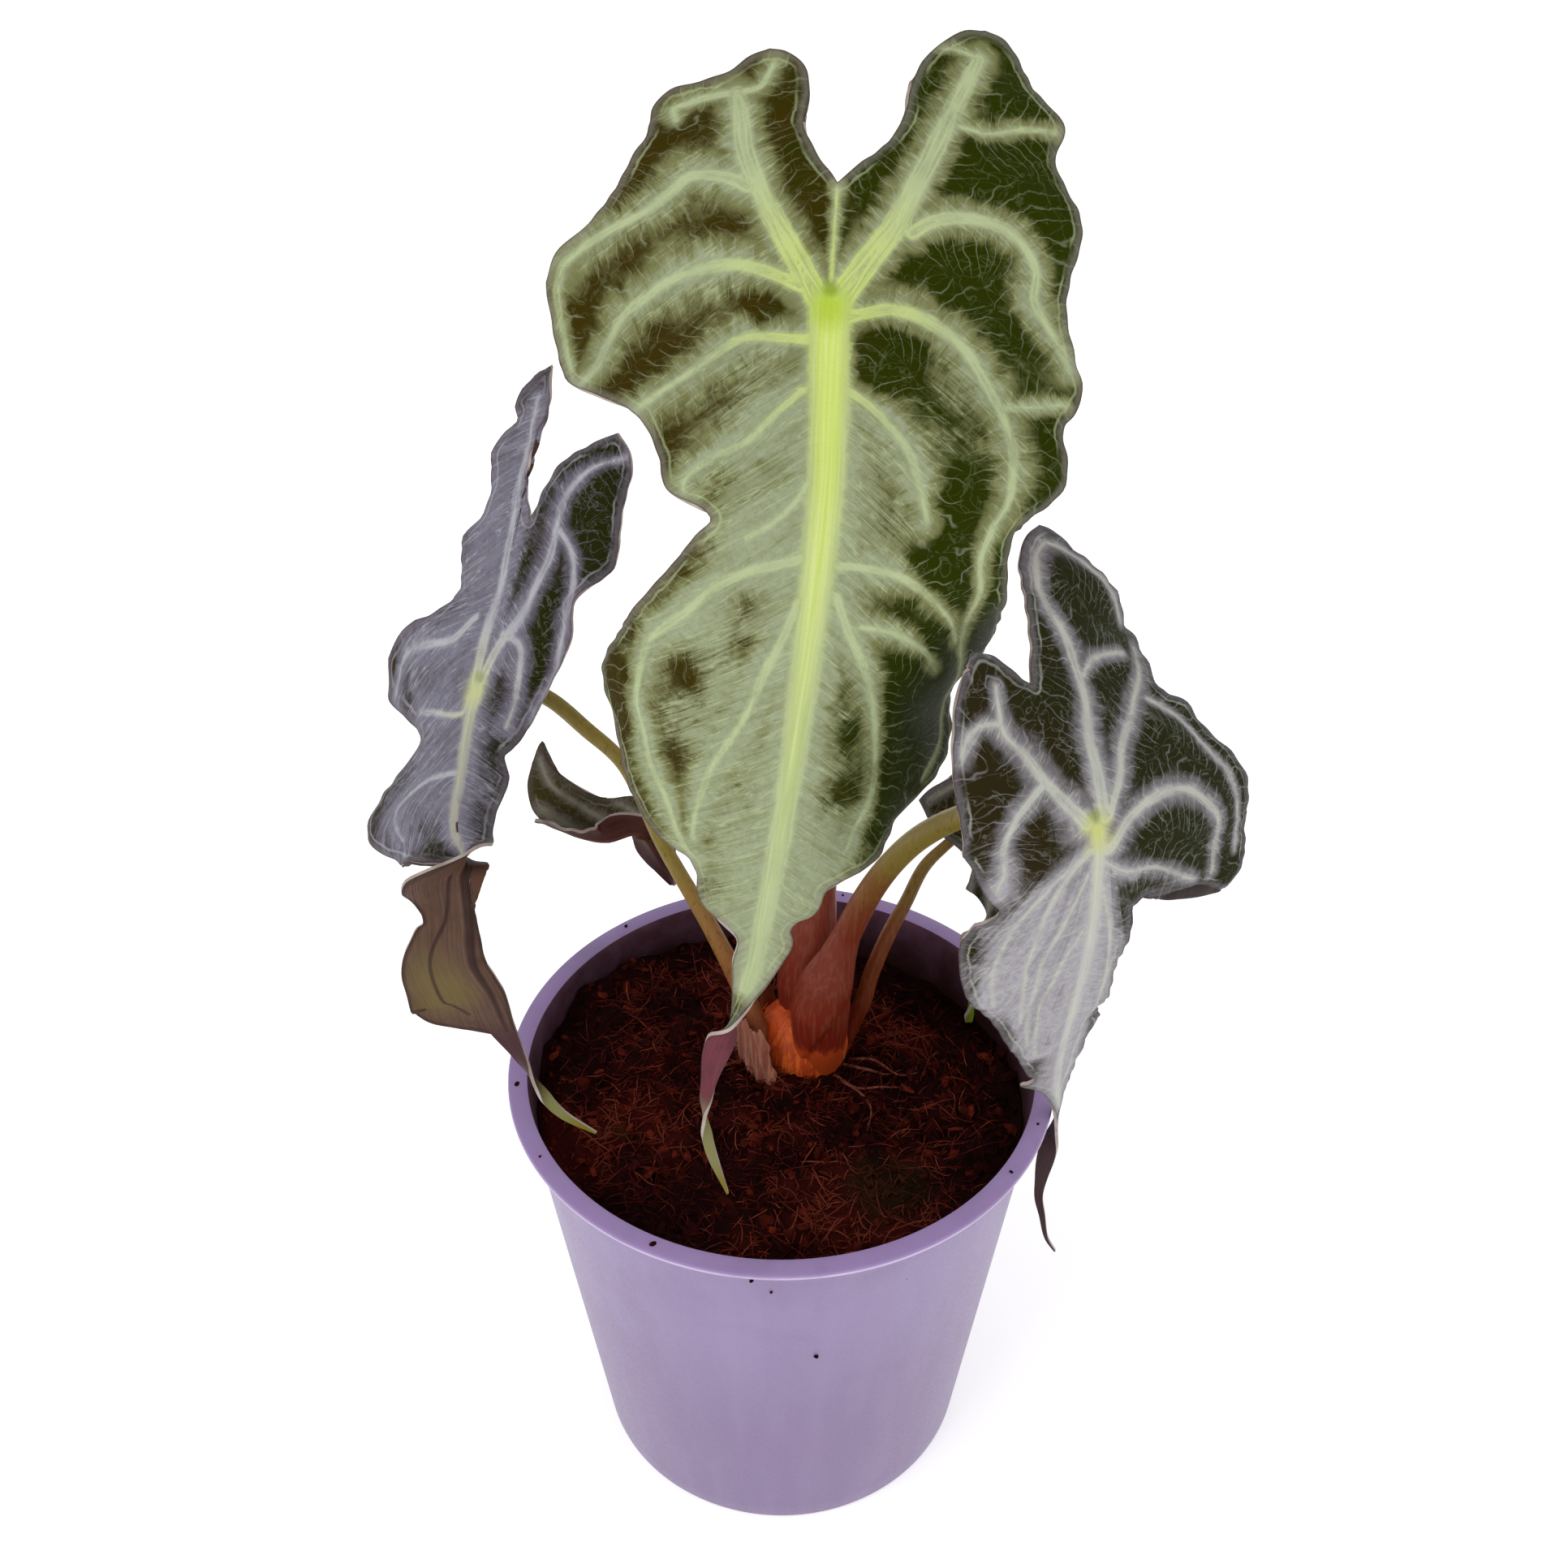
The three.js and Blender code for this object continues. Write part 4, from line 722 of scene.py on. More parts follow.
# Foot, middle and top colour, the heights in mm between which they change, and the scale at the foot
PETIOLE_COLOURS = {
    "front": (dye(118, 32, 20), dye(130, 54, 38), dye(140, 132, 58), 104, 175, 0.8),
    "left": (dye(160, 88, 58), dye(156, 102, 56), dye(138, 122, 52), 100, 150),
    "right": (dye(126, 34, 20), dye(122, 48, 26), dye(138, 122, 52), 108, 172, 0.8),
    "back_left": (dye(112, 50, 32), dye(118, 70, 36), dye(132, 100, 46), 100, 140),
    "back_right": (dye(116, 36, 18), dye(128, 60, 28), dye(124, 100, 40), 100, 145),
}


def clasp(start, turn, top):
    """Widens a foot like a rolled sheet, whose free edge winds up the stalk."""
    def widen(share, angle):
        hold = max(0.0, 1 - share / top) ** 0.5
        behind = ((angle - start - turn * share) / (2 * math.pi)) % 1
        lip = np.exp(-((1 - behind) / 0.03) ** 2)
        return 1 + hold * (0.13 * behind - 0.05 + 0.03 * lip) + 0.012 * np.sin(angle * 9)
    return widen


def stalk_group():
    """Skin of the stalks: three colours up their height, fine ribs whose pale streaks are partly a painted
    highlight, flecks and a papery scale at the foot.
    """
    group, enter, leave = effect(
        "stalk_skin", ["Place"], ["Foot", "Middle", "Top"],
        ["Middle from", "Middle full", "Top from", "Top full", "Scale"], ["Colour", "Roughness", "Height"])
    place = enter["Place"]
    ribs = noise(group, wire(group, "Mapping", place, None, None, (1, 1, 0.05)), 1300, 2, 0.5)
    flecks = noise(group, wire(group, "Mapping", place, None, None, (1, 1, 0.35)), 900, 4, 0.7)
    height = wire(group, "SeparateXYZ", place, out=2)
    patchy = maths(group, "ADD", height, maths(group, "MULTIPLY", noise(group, place, 90, 3), 0.02))
    body = over(group, enter["Foot"], enter["Middle"], patchy, enter["Middle from"], enter["Middle full"])
    body = over(group, body, enter["Top"], patchy, enter["Top from"], enter["Top full"])
    # Pale streaks along the fine ribs: partly their own paler colour, partly a painted highlight.
    body = over(group, body, mix(group, 0.25, body, dye(206, 160, 110)), ribs, 0.45, 0.65, 0, 0.3)
    body = over(group, body, dye(84, 44, 26), flecks, 0.55, 0.68, 0, 0.45)
    torn_top = maths(group, "MULTIPLY", noise(group, place, 220, 4, 0.6), 0.012)
    torn_top = maths(group, "ADD", height, torn_top)
    body = over(group, body, dye(206, 84, 32), torn_top, 0.1105, 0.113, enter["Scale"], 0)
    rough = fade(group, flecks, 0.3, 0.7, 0.36, 0.52)
    return put_out(group, leave, Colour=body, Roughness=rough, Height=ribs)


stalk_skin = stalk_group()


def petiole_material(name, foot, middle, top, low, high, scale=0.0):
    made, tree, shader = material(name, Specular_IOR_Level=0.25, Subsurface_Weight=0.08,
                                  Subsurface_Radius=(0.002, 0.0012, 0.0006))
    halfway = (low + high) / 2
    shown = use(tree, stalk_skin, {
        "Place": here(tree), "Foot": foot, "Middle": middle, "Top": top, "Middle from": (low + 8) * MM,
        "Middle full": (halfway + 10) * MM, "Top from": (halfway + 4) * MM, "Top full": (high + 10) * MM,
        "Scale": scale})
    feed(tree, shader, shown["Colour"], shown["Roughness"], shown["Height"], 0.35, 0.0003)
    return made


# Way that the upper face of the leaf looks to at the top of its stalk, which is cut flat there
LEAF_WAYS = {"front": (0, -0.8, 0.6), "left": (0, -0.5, 0.65), "right": (0.32, -0.78, 0.42),
             "back_left": (0.2, 0.1, 0.95), "back_right": (-0.08, -0.66, 0.74)}

TOP_GAP = 0.75
TOP_REACH = 9
CLASPS = {"front": clasp(3.6, 6.0, 0.42), "right": clasp(3.3, 9.0, 0.4)}
SMALL_CLASP = clasp(2.0, 3.0, 0.2)

for name, (points, radii) in PETIOLES.items():
    rings = 150 if name in CLASPS else 110
    petiole = stem(f"stalk_{name}", points, radii, rings, 48, CLASPS.get(name, SMALL_CLASP))
    way = np.array(LEAF_WAYS[name]) / np.linalg.norm(LEAF_WAYS[name])
    spots = points_of(petiole) / MM
    past_top = (spots - np.array(points[-1])) @ way + TOP_GAP
    near = np.linalg.norm(spots - np.array(points[-1]), axis=1) < TOP_REACH
    spots -= np.where(near & (past_top > 0), past_top, 0)[:, None] * way
    put_points(petiole, spots * MM)
    petiole.data.materials.append(petiole_material(f"petiole_{name}", *PETIOLE_COLOURS[name]))
    smooth(petiole, 60)
    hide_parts(f"petiole_{name}")
    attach(petiole, "root")


# Blades
# The leaves: thick, waxy blades on a sunken pale midrib, each grown in one piece with its drip tip.
# Between the pale side veins lie dark green fields, and a silvery mist runs along the veins.
BLADE_THICKNESS = 0.7
RIB_DEPTH, RIB_HALF_WIDTH = 0.5, 2.2
PUFF_RISE, WAVE_RISE = 0.35, 0.9
RIPPLE_RISE = 0.22
FLAT_LENGTH = 20
# Along a leaf, u runs in mm from the joint of its stalk (0) to the tip; w is the distance from the
# midrib. Axis: u, place, way that the upper face looks. Fold: u, rise and then curl, left and right.
# The margin of each half runs from the joint round the lobe to the drip tip, which both halves share.
LEAVES = {
    "front": {
        "axis": [[-38, 10.5, 25, 308.5, 0, -0.8, 0.6], [-21, 9.5, 12, 298.5, 0, -0.8, 0.6],
                 [0, 8.2, 0, 281.5, 0, -0.8, 0.6], [17.5, 7.5, -13, 269.5, 0, -0.8, 0.6],
                 [32.5, 6.8, -23, 258.5, 0, -0.8, 0.6], [46, 5.5, -29, 247, 0, -0.8, 0.6],
                 [60, 3.8, -33.5, 234, 0, -0.8, 0.6], [75, 1.7, -36.5, 219.5, 0, -0.8, 0.6],
                 [91, -0.5, -38, 203, 0, -0.8, 0.6], [109, -3, -38.5, 185, 0, -0.8, 0.6],
                 [130, -6.4, -38.5, 164.5, 0, -0.8, 0.6], [138, -9, -39, 157, -1, 0, 0.3],
                 [145, -11.7, -40, 151, 0, 1, -0.3], [156, -14.2, -42, 140.5, 0.2, 1, -0.3],
                 [162, -14.8, -43.5, 135, 1, 0, 0], [168, -14, -45.5, 129.5, 0, -1, 0.3],
                 [179, -10.4, -50, 120.5, 0, -1, 0.3]],
        "fold": [[-50, 0, 0, -0.5, -0.5], [0, 4, 4, -0.7, -0.7], [30, 2, 2, -0.8, -0.8],
                 [50, -4, -8, -1, -1.1], [70, -8, -18, -1.1, -1.3], [90, -8, -18, -1.1, -1.3],
                 [110, -6, -12, -1, -1], [130, 0, 0, 0, 0], [140, 0, 0, 0, 0]],
        "left": [[-21, 0], [-26, 4], [-32, 6.2], [-39, 5.8], [-44, 7], [-46.3, 10], [-46.8, 12.8],
                 [-45.4, 16.2], [-42.5, 20], [-41, 26], [-40.2, 30], [-37, 32.8], [-30, 33], [-25, 35.4],
                 [-18, 39.2], [-11.5, 44], [-8, 48.4], [-4, 50.6], [1.5, 49.7], [6, 48.2], [10.5, 45.4],
                 [14.5, 39], [19.5, 31], [26, 28], [33, 26], [38, 18], [42, 21], [55, 30], [66, 38],
                 [75, 42], [85, 40], [98, 29], [103, 23], [106, 15], [112, 12], [118, 4], [124, 4]],
        "right": [[-21, 0], [-28, 7], [-34, 10.3], [-40, 11], [-46, 13], [-51, 16], [-54.5, 20.5],
                  [-55.2, 24], [-54, 28], [-50.5, 30.8], [-44, 34], [-40, 38], [-37, 38.8], [-33, 37.6],
                  [-28, 39.5], [-21, 42], [-14.5, 42.8], [-8, 42], [-2.4, 41.4], [4, 43], [9, 45.4],
                  [13, 44.2], [17, 41.5], [27, 42], [36, 35], [42, 35], [50, 40], [59, 47], [66, 46],
                  [76, 46], [86, 44], [91, 41], [95, 28], [102, 22], [107, 11], [112, 10], [116, 6],
                  [120, 7], [125, 5]],
        "tip": [[132, 2.4], [140, 2.8], [147, 2.6], [154, 1.5], [162, 1.1], [170, 1], [179, 0.2]],
        "side": ([-4, 50.6], [-8, 42]), "top": (6, 7), "tail": 130, "counts": (70, 190, 50, 60),
    },
    "right": {
        "axis": [[-54, 33, -11.2, 242, 0.66, -0.38, 0.62], [-28, 43.6, -26, 223.6, 0.64, -0.4, 0.62],
                 [0, 54.9, -42, 203.7, 0.32, -0.78, 0.42], [11.5, 55.5, -44.7, 192.5, 0.27, -0.86, 0.24],
                 [20.9, 55.4, -45.3, 183.2, 0.27, -0.9, 0.1], [38.7, 55.1, -41.8, 165.9, 0.34, -0.9, -0.08],
                 [62.4, 55.5, -33, 143.5, 0.4, -0.9, -0.15], [89, 57.5, -21.5, 119.5, 0.5, -0.8, -0.2],
                 [100.5, 58.9, -17, 109, 0.9, -0.4, 0.1], [108, 59.4, -14.5, 102, 0.9, 0, 0],
                 [119.5, 58.6, -12.5, 90.5, 0.4, 0.9, 0], [126.5, 58, -12.5, 83.5, 0.2, 1, 0],
                 [133, 57.9, -13, 77, 0.2, 1, 0], [137.5, 58.8, -14, 73, 0.2, 1, 0],
                 [145, 60.5, -15, 65.5, 0.2, 1, 0], [149.5, 62.6, -15, 61.5, 0.2, 1, 0]],
        "fold": [[-60, 4, 6, -0.5, -0.5], [-40, 5, 14, -0.8, -0.6], [-28, -9, 10, -0.8, -0.6],
                 [-15, -8, 0, -0.8, -0.6], [0, -4, -10, -0.8, -0.6], [20, -6, -8, -0.8, -0.6],
                 [36, -9, -2, -0.8, -0.6], [43, -10, -3, -0.8, -0.6], [62, -12, -22, -0.8, -0.6],
                 [87, -10, -14, -0.5, -0.5], [98, 0, 0, 0, 0], [110, 0, 0, 0, 0]],
        "left": [[-28, 0], [-31, 3], [-35, 6], [-36.5, 10.5], [-32, 16], [-24, 20], [-14, 22.8], [-4, 24.4],
                 [3.6, 23.2], [10.6, 20.2], [14.6, 17.4], [18.2, 21.4], [23.6, 23.4], [31.8, 22.7],
                 [40.8, 19.6], [52, 13.5], [62, 10], [74, 7], [78, 5], [81, 8], [85, 4.5], [90, 2.4]],
        "right": [[-28, 0], [-33.6, 3.2], [-41, 6], [-46.5, 9], [-50.5, 12], [-53.5, 16.5], [-54.5, 21],
                  [-53, 25], [-50, 27.2], [-46, 29.2], [-41, 31], [-36.5, 33.5], [-32, 34], [-29, 37.5],
                  [-24, 36], [-19, 31.5], [-14.8, 37.4], [-10, 38.4], [-5.2, 40.4], [0, 42], [4.8, 43.4],
                  [11.2, 42.2], [17.2, 39.8], [24.2, 36.6], [27.4, 32.6], [21.5, 26.8], [18, 21.6],
                  [16.4, 15.6], [16.2, 11.2], [17.4, 8.4], [23.2, 8], [31.2, 7.6], [41.6, 7], [52, 7.5],
                  [61, 10], [70, 11.5], [77, 9], [80, 5], [90, 2.6]],
        "tip": [[97, 1.7], [108, 1.7], [120, 2], [130, 1.1], [149.5, 0.2]],
        "side": ([-4, 24.4], [-5.2, 40.4]), "top": (3, 6), "tail": 97, "counts": (56, 140, 60, 46),
        "notch": (([18.2, 21.4], [17.4, 8.4]), 17.5, 0.48),
    },
    "left": {
        "axis": [[-60, -44.9, 59.1, 234.5, -0.3, -0.75, 0.5], [-37, -51.9, 46, 216.9, -0.3, -0.75, 0.5],
                 [-18.6, -56.9, 35, 203.1, -0.2, -0.7, 0.55], [0, -63.1, 25, 188.7, 0, -0.5, 0.65],
                 [17, -64.7, 10, 181, -0.1, -0.42, 0.75], [28.7, -64.4, -1, 177, -0.1, -0.4, 0.8],
                 [36.2, -63.3, -8, 174.3, -0.3, -0.3, 0.8], [39.2, -62.8, -10.3, 172.6, -0.9, 0, 0.25],
                 [42.4, -62.2, -12.4, 170.4, -0.35, 0.85, -0.2], [46.8, -61.5, -14.6, 166.6, 0, 1, -0.3],
                 [51.9, -61.1, -17, 162.2, 0, 1, -0.2], [61, -60.8, -20, 154, 0, 1, -0.2],
                 [69.9, -57.7, -21, 146.4, 0, 1, -0.2], [77, -56.2, -21, 139.5, 0, 1, -0.1],
                 [87.3, -53.6, -21, 129.5, 0.2, 1, 0], [95.9, -51, -21, 121.3, 1, 0.1, 0],
                 [104.5, -46.2, -23, 115, 0, -1, 0.3], [113.5, -38.4, -27, 113, 0, -1, 0.3]],
        "fold": [[-60, -4, 26, -0.8, -0.8], [-48, -7, 23, -0.8, -0.8], [-35, -15, 18, -0.8, -0.8],
                 [-24, -22, 20, -0.8, -0.8], [-10, -20, 16, -0.8, -0.8], [0, -29, 10, -0.8, -0.8],
                 [12, -30, -8, -0.8, -0.8], [22, -23, -12, -0.8, -0.8], [32, -32, -28, -0.8, -0.8],
                 [38, -20, -20, -0.6, -0.4], [46, 0, 0, -0.3, -0.3], [80, 0, 0, 0, 0]],
        "left": [[-37, 0], [-43, 3], [-52, 4.5], [-61, 4], [-69, 6], [-65, 10], [-60, 13], [-57, 11],
                 [-50, 14], [-42, 13], [-36, 15], [-32, 19], [-26, 17], [-18, 16], [-11, 19], [-7, 27],
                 [-3, 33], [0, 31], [3, 22], [7, 15], [11, 17], [14, 24], [19, 29], [25, 27.5], [29, 22],
                 [34, 13], [38, 6.5], [40.5, 2.6], [43, 1.3], [46, 1.1], [52, 1.4], [60, 2.4], [70, 2.6],
                 [80, 1.8], [89, 1.3]],
        "right": [[-37, 0], [-44, 1.5], [-50, 4], [-55, 11], [-58, 17], [-54, 21], [-46, 22], [-36, 23],
                  [-30, 22.5], [-25, 18], [-22, 16.5], [-17, 18], [-9, 16], [-2, 15], [6, 13], [12, 10],
                  [14, 8.5], [20, 10], [28, 8], [34, 7.2], [37.2, 6.4], [38.8, 6.2], [40.4, 7.2],
                  [41.6, 9.6], [42.8, 12], [45.2, 12.2], [48.4, 10.4], [52, 9.4], [53.4, 10.6], [57, 12.4],
                  [62, 16], [68, 17.5], [74, 15], [77, 9], [80, 3.5], [88, 1.5]],
        "tip": [[98, 1.3], [106, 0.9], [113.5, 0.2]],
        "side": ([-3, 33], [-2, 15]), "top": (4, 4), "tail": 80, "counts": (60, 150, 50, 40),
    },
    "back_left": {
        "axis": [[-25, -55.3, 38, 145.6, 0, -0.35, 0.94], [-9, -39.9, 36, 141.1, 0, -0.35, 0.94],
                 [0, -31.8, 35, 143.5, 0.2, 0.1, 0.95], [5, -29.3, 35, 139.5, 0.3, 0.6, 0.5],
                 [10, -27.2, 35, 135, 0.3, 0.8, 0.3], [17, -24.8, 35, 128.8, 0.3, 0.8, 0.3]],
        "fold": [[-25, 60, 22, -1, 1.5], [-9, 85, 20, -1, 0.5], [0, 70, 16, -1, 0], [6, 30, 8, 0, 0],
                 [12, 0, 0, 0, 0]],
        "left": [[-24, 0], [-25, 1.5], [-23.5, 3.5], [-18, 5], [-12, 6.5], [-5, 7.5], [0, 7.5], [4, 6.5],
                 [8, 4.6], [12, 2.6]],
        "right": [[-24, 0], [-26.5, 2], [-28.8, 6], [-29.3, 11.5], [-28.5, 17], [-27, 14], [-24.5, 11.8],
                  [-20, 10.3], [-14, 9.5], [-6, 9.5], [0, 9.5], [4, 8.5], [8, 5.6], [12, 3]],
        "tip": [[17, 0.8]],
        "side": ([0, 7.5], [0, 9.5]), "top": (2, 3), "tail": 12, "counts": (40, 50, 20, 26),
    },
    "back_right": {
        "axis": [[-22, 55.3, 43.6, 172.5, -0.08, -0.66, 0.74], [0, 50, 28, 158, -0.08, -0.66, 0.74],
                 [12, 47, 19.5, 150, -0.2, -0.66, 0.6], [23, 44.6, 12, 143, -0.8, -0.4, 0.2],
                 [30, 43.4, 9.5, 136.5, -0.5, 0.7, -0.3], [42, 42, 8, 125, 0, 1, -0.1],
                 [48, 41.8, 8.5, 119, 1, 0.3, 0], [57, 42, 9.6, 110, 0, -1, 0.1]],
        "fold": [[-22, -6, -10, -0.8, -0.8], [0, -6, -20, -0.8, -0.8], [12, -8, -20, -0.8, -0.8],
                 [26, -4, -6, -0.6, -0.6], [42, 0, 0, 0, 0]],
        "left": [[-10, 0], [-12, 3], [-11, 7], [-6, 11], [-2.5, 14.5], [0.5, 18.5], [3.5, 21], [6.5, 18.5],
                 [9.5, 15], [11, 12], [13, 8], [16, 5.5], [19, 7], [23, 10], [27, 9.5], [31, 6.5], [35, 4]],
        "right": [[-10, 0], [-14, 4], [-20, 7], [-23, 12], [-20, 17], [-11, 19], [-2, 18], [7, 17],
                  [13, 13], [20, 10], [28, 7], [34, 4.5]],
        "tip": [[39, 2], [48, 1.8], [57, 0.8]],
        "side": ([3.5, 21], [-2, 18]), "top": (4, 3), "tail": 40, "counts": (36, 90, 24, 28),
    },
}
# Veins of each leaf: half width in mm at the start and the end, reach of the silvery mist beside it
# in mm, and its points (u, w), with w negative on the left half. The first is the midrib.
VEINS = {
    "front": [
        (3.5, 1.5, 3.2, [(0, 0), (24, 0.5), (52, 0.5), (81, 1), (113, 0.5), (130, 0)]),
        (2.1, 1.4, 3.4, [(-1, -2), (-6, -5), (-12, -9), (-17, -12), (-21, -14), (-27, -16), (-34, -17),
                         (-38, -18)]),
        (0.8, 0.4, 2.6, [(-38, -18), (-39, -14), (-41, -13), (-44, -12)]),
        (0.9, 0.4, 2.8, [(-38, -18), (-38, -21), (-37, -26), (-36, -29), (-33, -28)]),
        (2.3, 1.2, 3.4, [(-2, 2), (-8, 6), (-14, 10), (-21, 13), (-29, 16), (-38, 19), (-46, 22),
                         (-49, 23)]),
        (0.6, 0.3, 2.2, [(-49, 23), (-50, 19), (-50, 17)]),
        (1.2, 0.5, 4.6, [(-19, -15), (-20, -17), (-21, -21), (-21, -25), (-18, -28), (-14, -33), (-11, -39),
                         (-8, -44), (-6, -47)]),
        (0.4, 0.2, 2.0, [(-6, -47), (-2, -48), (4, -47), (11, -44)]),
        (1.1, 0.4, 4.4, [(-3, -5), (-5, -10), (-6, -16), (-5, -22), (-3, -28), (-1, -31), (1, -35),
                         (5, -38), (9, -40), (12, -43)]),
        (0.9, 0.4, 4.2, [(6, -3), (6, -8), (6, -13), (7, -16), (10, -20), (14, -26), (18, -32)]),
        (0.7, 0.3, 3.8, [(15, -4), (19, -8), (24, -13), (27, -19), (31, -23), (34, -23)]),
        (0.6, 0.3, 3.2, [(30, -2), (35, -5), (39, -9), (41, -12)]),
        (0.9, 0.4, 3.2, [(43, -1), (45, -6), (47, -11), (51, -17), (56, -21), (62, -27), (68, -31),
                         (78, -31), (87, -28), (96, -21), (105, -15)]),
        (0.8, 0.3, 3.0, [(51, -2), (58, -4), (64, -6), (75, -9), (84, -13), (92, -15), (100, -15)]),
        (1.2, 0.5, 3.6, [(-13, 13), (-15, 16), (-16, 20), (-16, 25), (-15, 29), (-13, 32), (-9, 35),
                         (-4, 35), (-1, 37), (3, 40), (6, 42)]),
        (0.5, 0.3, 2.4, [(-34, 20), (-34, 25), (-36, 31), (-37, 37)]),
        (1.2, 0.5, 4.4, [(2, 3), (1, 6), (0, 10), (1, 15), (3, 19), (6, 23), (10, 26), (15, 29), (20, 31),
                         (25, 32), (31, 32), (35, 30)]),
        (0.4, 0.2, 2.0, [(15, 30), (14, 35), (12, 42)]),
        (0.8, 0.4, 3.8, [(15, 4), (17, 7), (21, 11), (25, 14), (30, 16), (35, 18)]),
        (0.8, 0.3, 3.0, [(44, 4), (44, 9), (45, 15), (49, 22), (54, 28), (58, 31)]),
        (0.7, 0.3, 2.4, [(35, 30), (41, 29), (47, 31), (53, 31), (59, 33)]),
        (0.4, 0.2, 1.6, [(59, 33), (66, 37), (74, 40), (84, 38), (90, 33)]),
        (0.5, 0.3, 2.6, [(54, 9), (55, 15), (59, 23), (63, 27)]),
        (0.8, 0.3, 3.0, [(49, 4), (55, 7), (63, 12), (71, 15), (82, 18), (91, 17), (99, 14)]),
        (0.4, 0.2, 1.6, [(-20, 0), (-12, 0), (-4, 0)]),
    ],
    "right": [
        (1.2, 0.7, 3.0, [(0, 0), (12, 0), (23, 0), (38, 0), (62, 0), (89, 0), (97, 0)]),
        (1.3, 0.5, 3.6, [(-2, -2), (-8, -5), (-13, -7), (-18, -8), (-22, -10), (-24, -10)]),
        (0.5, 0.3, 2.0, [(-24, -10), (-27, -9), (-30, -8)]),
        (0.5, 0.3, 2.2, [(-24, -10), (-25, -14), (-24, -17), (-22, -19)]),
        (0.7, 0.3, 2.8, [(-12, -7), (-10, -11), (-8, -14), (-3, -17), (7, -17), (10, -18)]),
        (1.2, 0.5, 3.0, [(-2, 2), (-8, 3), (-14, 5), (-21, 9), (-27, 12), (-34, 12), (-40, 11), (-45, 12),
                         (-49, 15), (-51, 20)]),
        (0.5, 0.3, 2.0, [(-51, 20), (-49, 24), (-44, 28), (-38, 31), (-33, 32)]),
        (0.5, 0.3, 2.0, [(-26, 13), (-28, 17), (-28, 22), (-27, 28)]),
        (0.8, 0.3, 2.8, [(-2, 3), (-7, 7), (-13, 13), (-18, 21), (-22, 28), (-27, 34)]),
        (0.9, 0.4, 2.8, [(4, 2), (0, 7), (-2, 14), (-1, 22), (3, 28), (7, 31), (13, 30), (18, 28)]),
        (0.4, 0.2, 1.8, [(-18, 26), (-13, 31), (-5, 34), (3, 38), (11, 38), (17, 36)]),
        (0.4, 0.2, 2.6, [(3, -1), (7, -5), (13, -8), (20, -10), (31, -11), (48, -10)]),
        (0.3, 0.2, 2.6, [(8, -2), (16, -5), (26, -8), (41, -9), (59, -8)]),
        (0.3, 0.2, 2.6, [(20, -2), (29, -5), (42, -7), (63, -6)]),
        (0.3, 0.2, 2.4, [(3, -2), (9, -8), (18, -14), (30, -17), (40, -16)]),
        (0.3, 0.2, 2.4, [(10, 1), (24, 4), (40, 5), (62, 5), (84, 2)]),
        (0.3, 0.2, 2.4, [(5, 0), (9, 6), (10, 12), (17, 23)]),
    ],
    "left": [
        (1.4, 0.3, 2.8, [(0, 0), (9, 0), (21, 0), (32, -1), (38, 0), (46, 0), (60, 0), (80, 0)]),
        (1.1, 0.4, 3.0, [(-1, -0.5), (-10, -2), (-26, -3), (-43, -5), (-55, -6), (-62, -7)]),
        (1.1, 0.4, 2.6, [(-2, 0.5), (-10, 2), (-20, 6), (-31, 8), (-37, 8), (-44, 8), (-50, 13),
                         (-54, 20)]),
        (0.6, 0.3, 2.2, [(-36, 9), (-32, 13), (-26, 15), (-17, 16), (-10, 16), (6, 13)]),
        (0.7, 0.3, 2.6, [(-13, 2), (-12, 7), (0, 9), (8, 8)]),
        (0.8, 0.3, 3.0, [(-14, -6), (-8, -10), (-5, -20), (-3, -26), (0, -26)]),
        (0.7, 0.3, 3.0, [(1, -1), (5, -2), (4, -10), (3, -16)]),
        (0.7, 0.3, 3.0, [(19, 0), (19, -10), (22, -17), (27, -17)]),
        (0.3, 0.2, 2.0, [(42, 3), (52, 5), (61, 9), (68, 10), (74, 6)]),
    ],
    "back_left": [
        (0.8, 0.4, 2.2, [(-24, 2), (-12, 0), (0, 0), (17, 0)]),
        (0.5, 0.3, 1.8, [(-3, 0), (-8, 4), (-16, 6), (-24, 8), (-28, 13)]),
        (0.4, 0.2, 1.5, [(0, 1), (-1, 4), (-5, 8)]),
    ],
    "back_right": [
        (0.9, 0.4, 2.4, [(0, 0), (12, 0), (30, 0), (48, 0)]),
        (0.6, 0.3, 2.0, [(-1, -1), (-4, -6), (-1, -13), (3, -18)]),
        (0.6, 0.3, 2.0, [(-1, 1), (-8, 5), (-15, 9), (-19, 14)]),
        (0.5, 0.3, 2.0, [(4, 1), (6, 7), (4, 13)]),
        (0.5, 0.3, 2.0, [(10, -1), (14, -4), (22, -7), (28, -6)]),
    ],
}
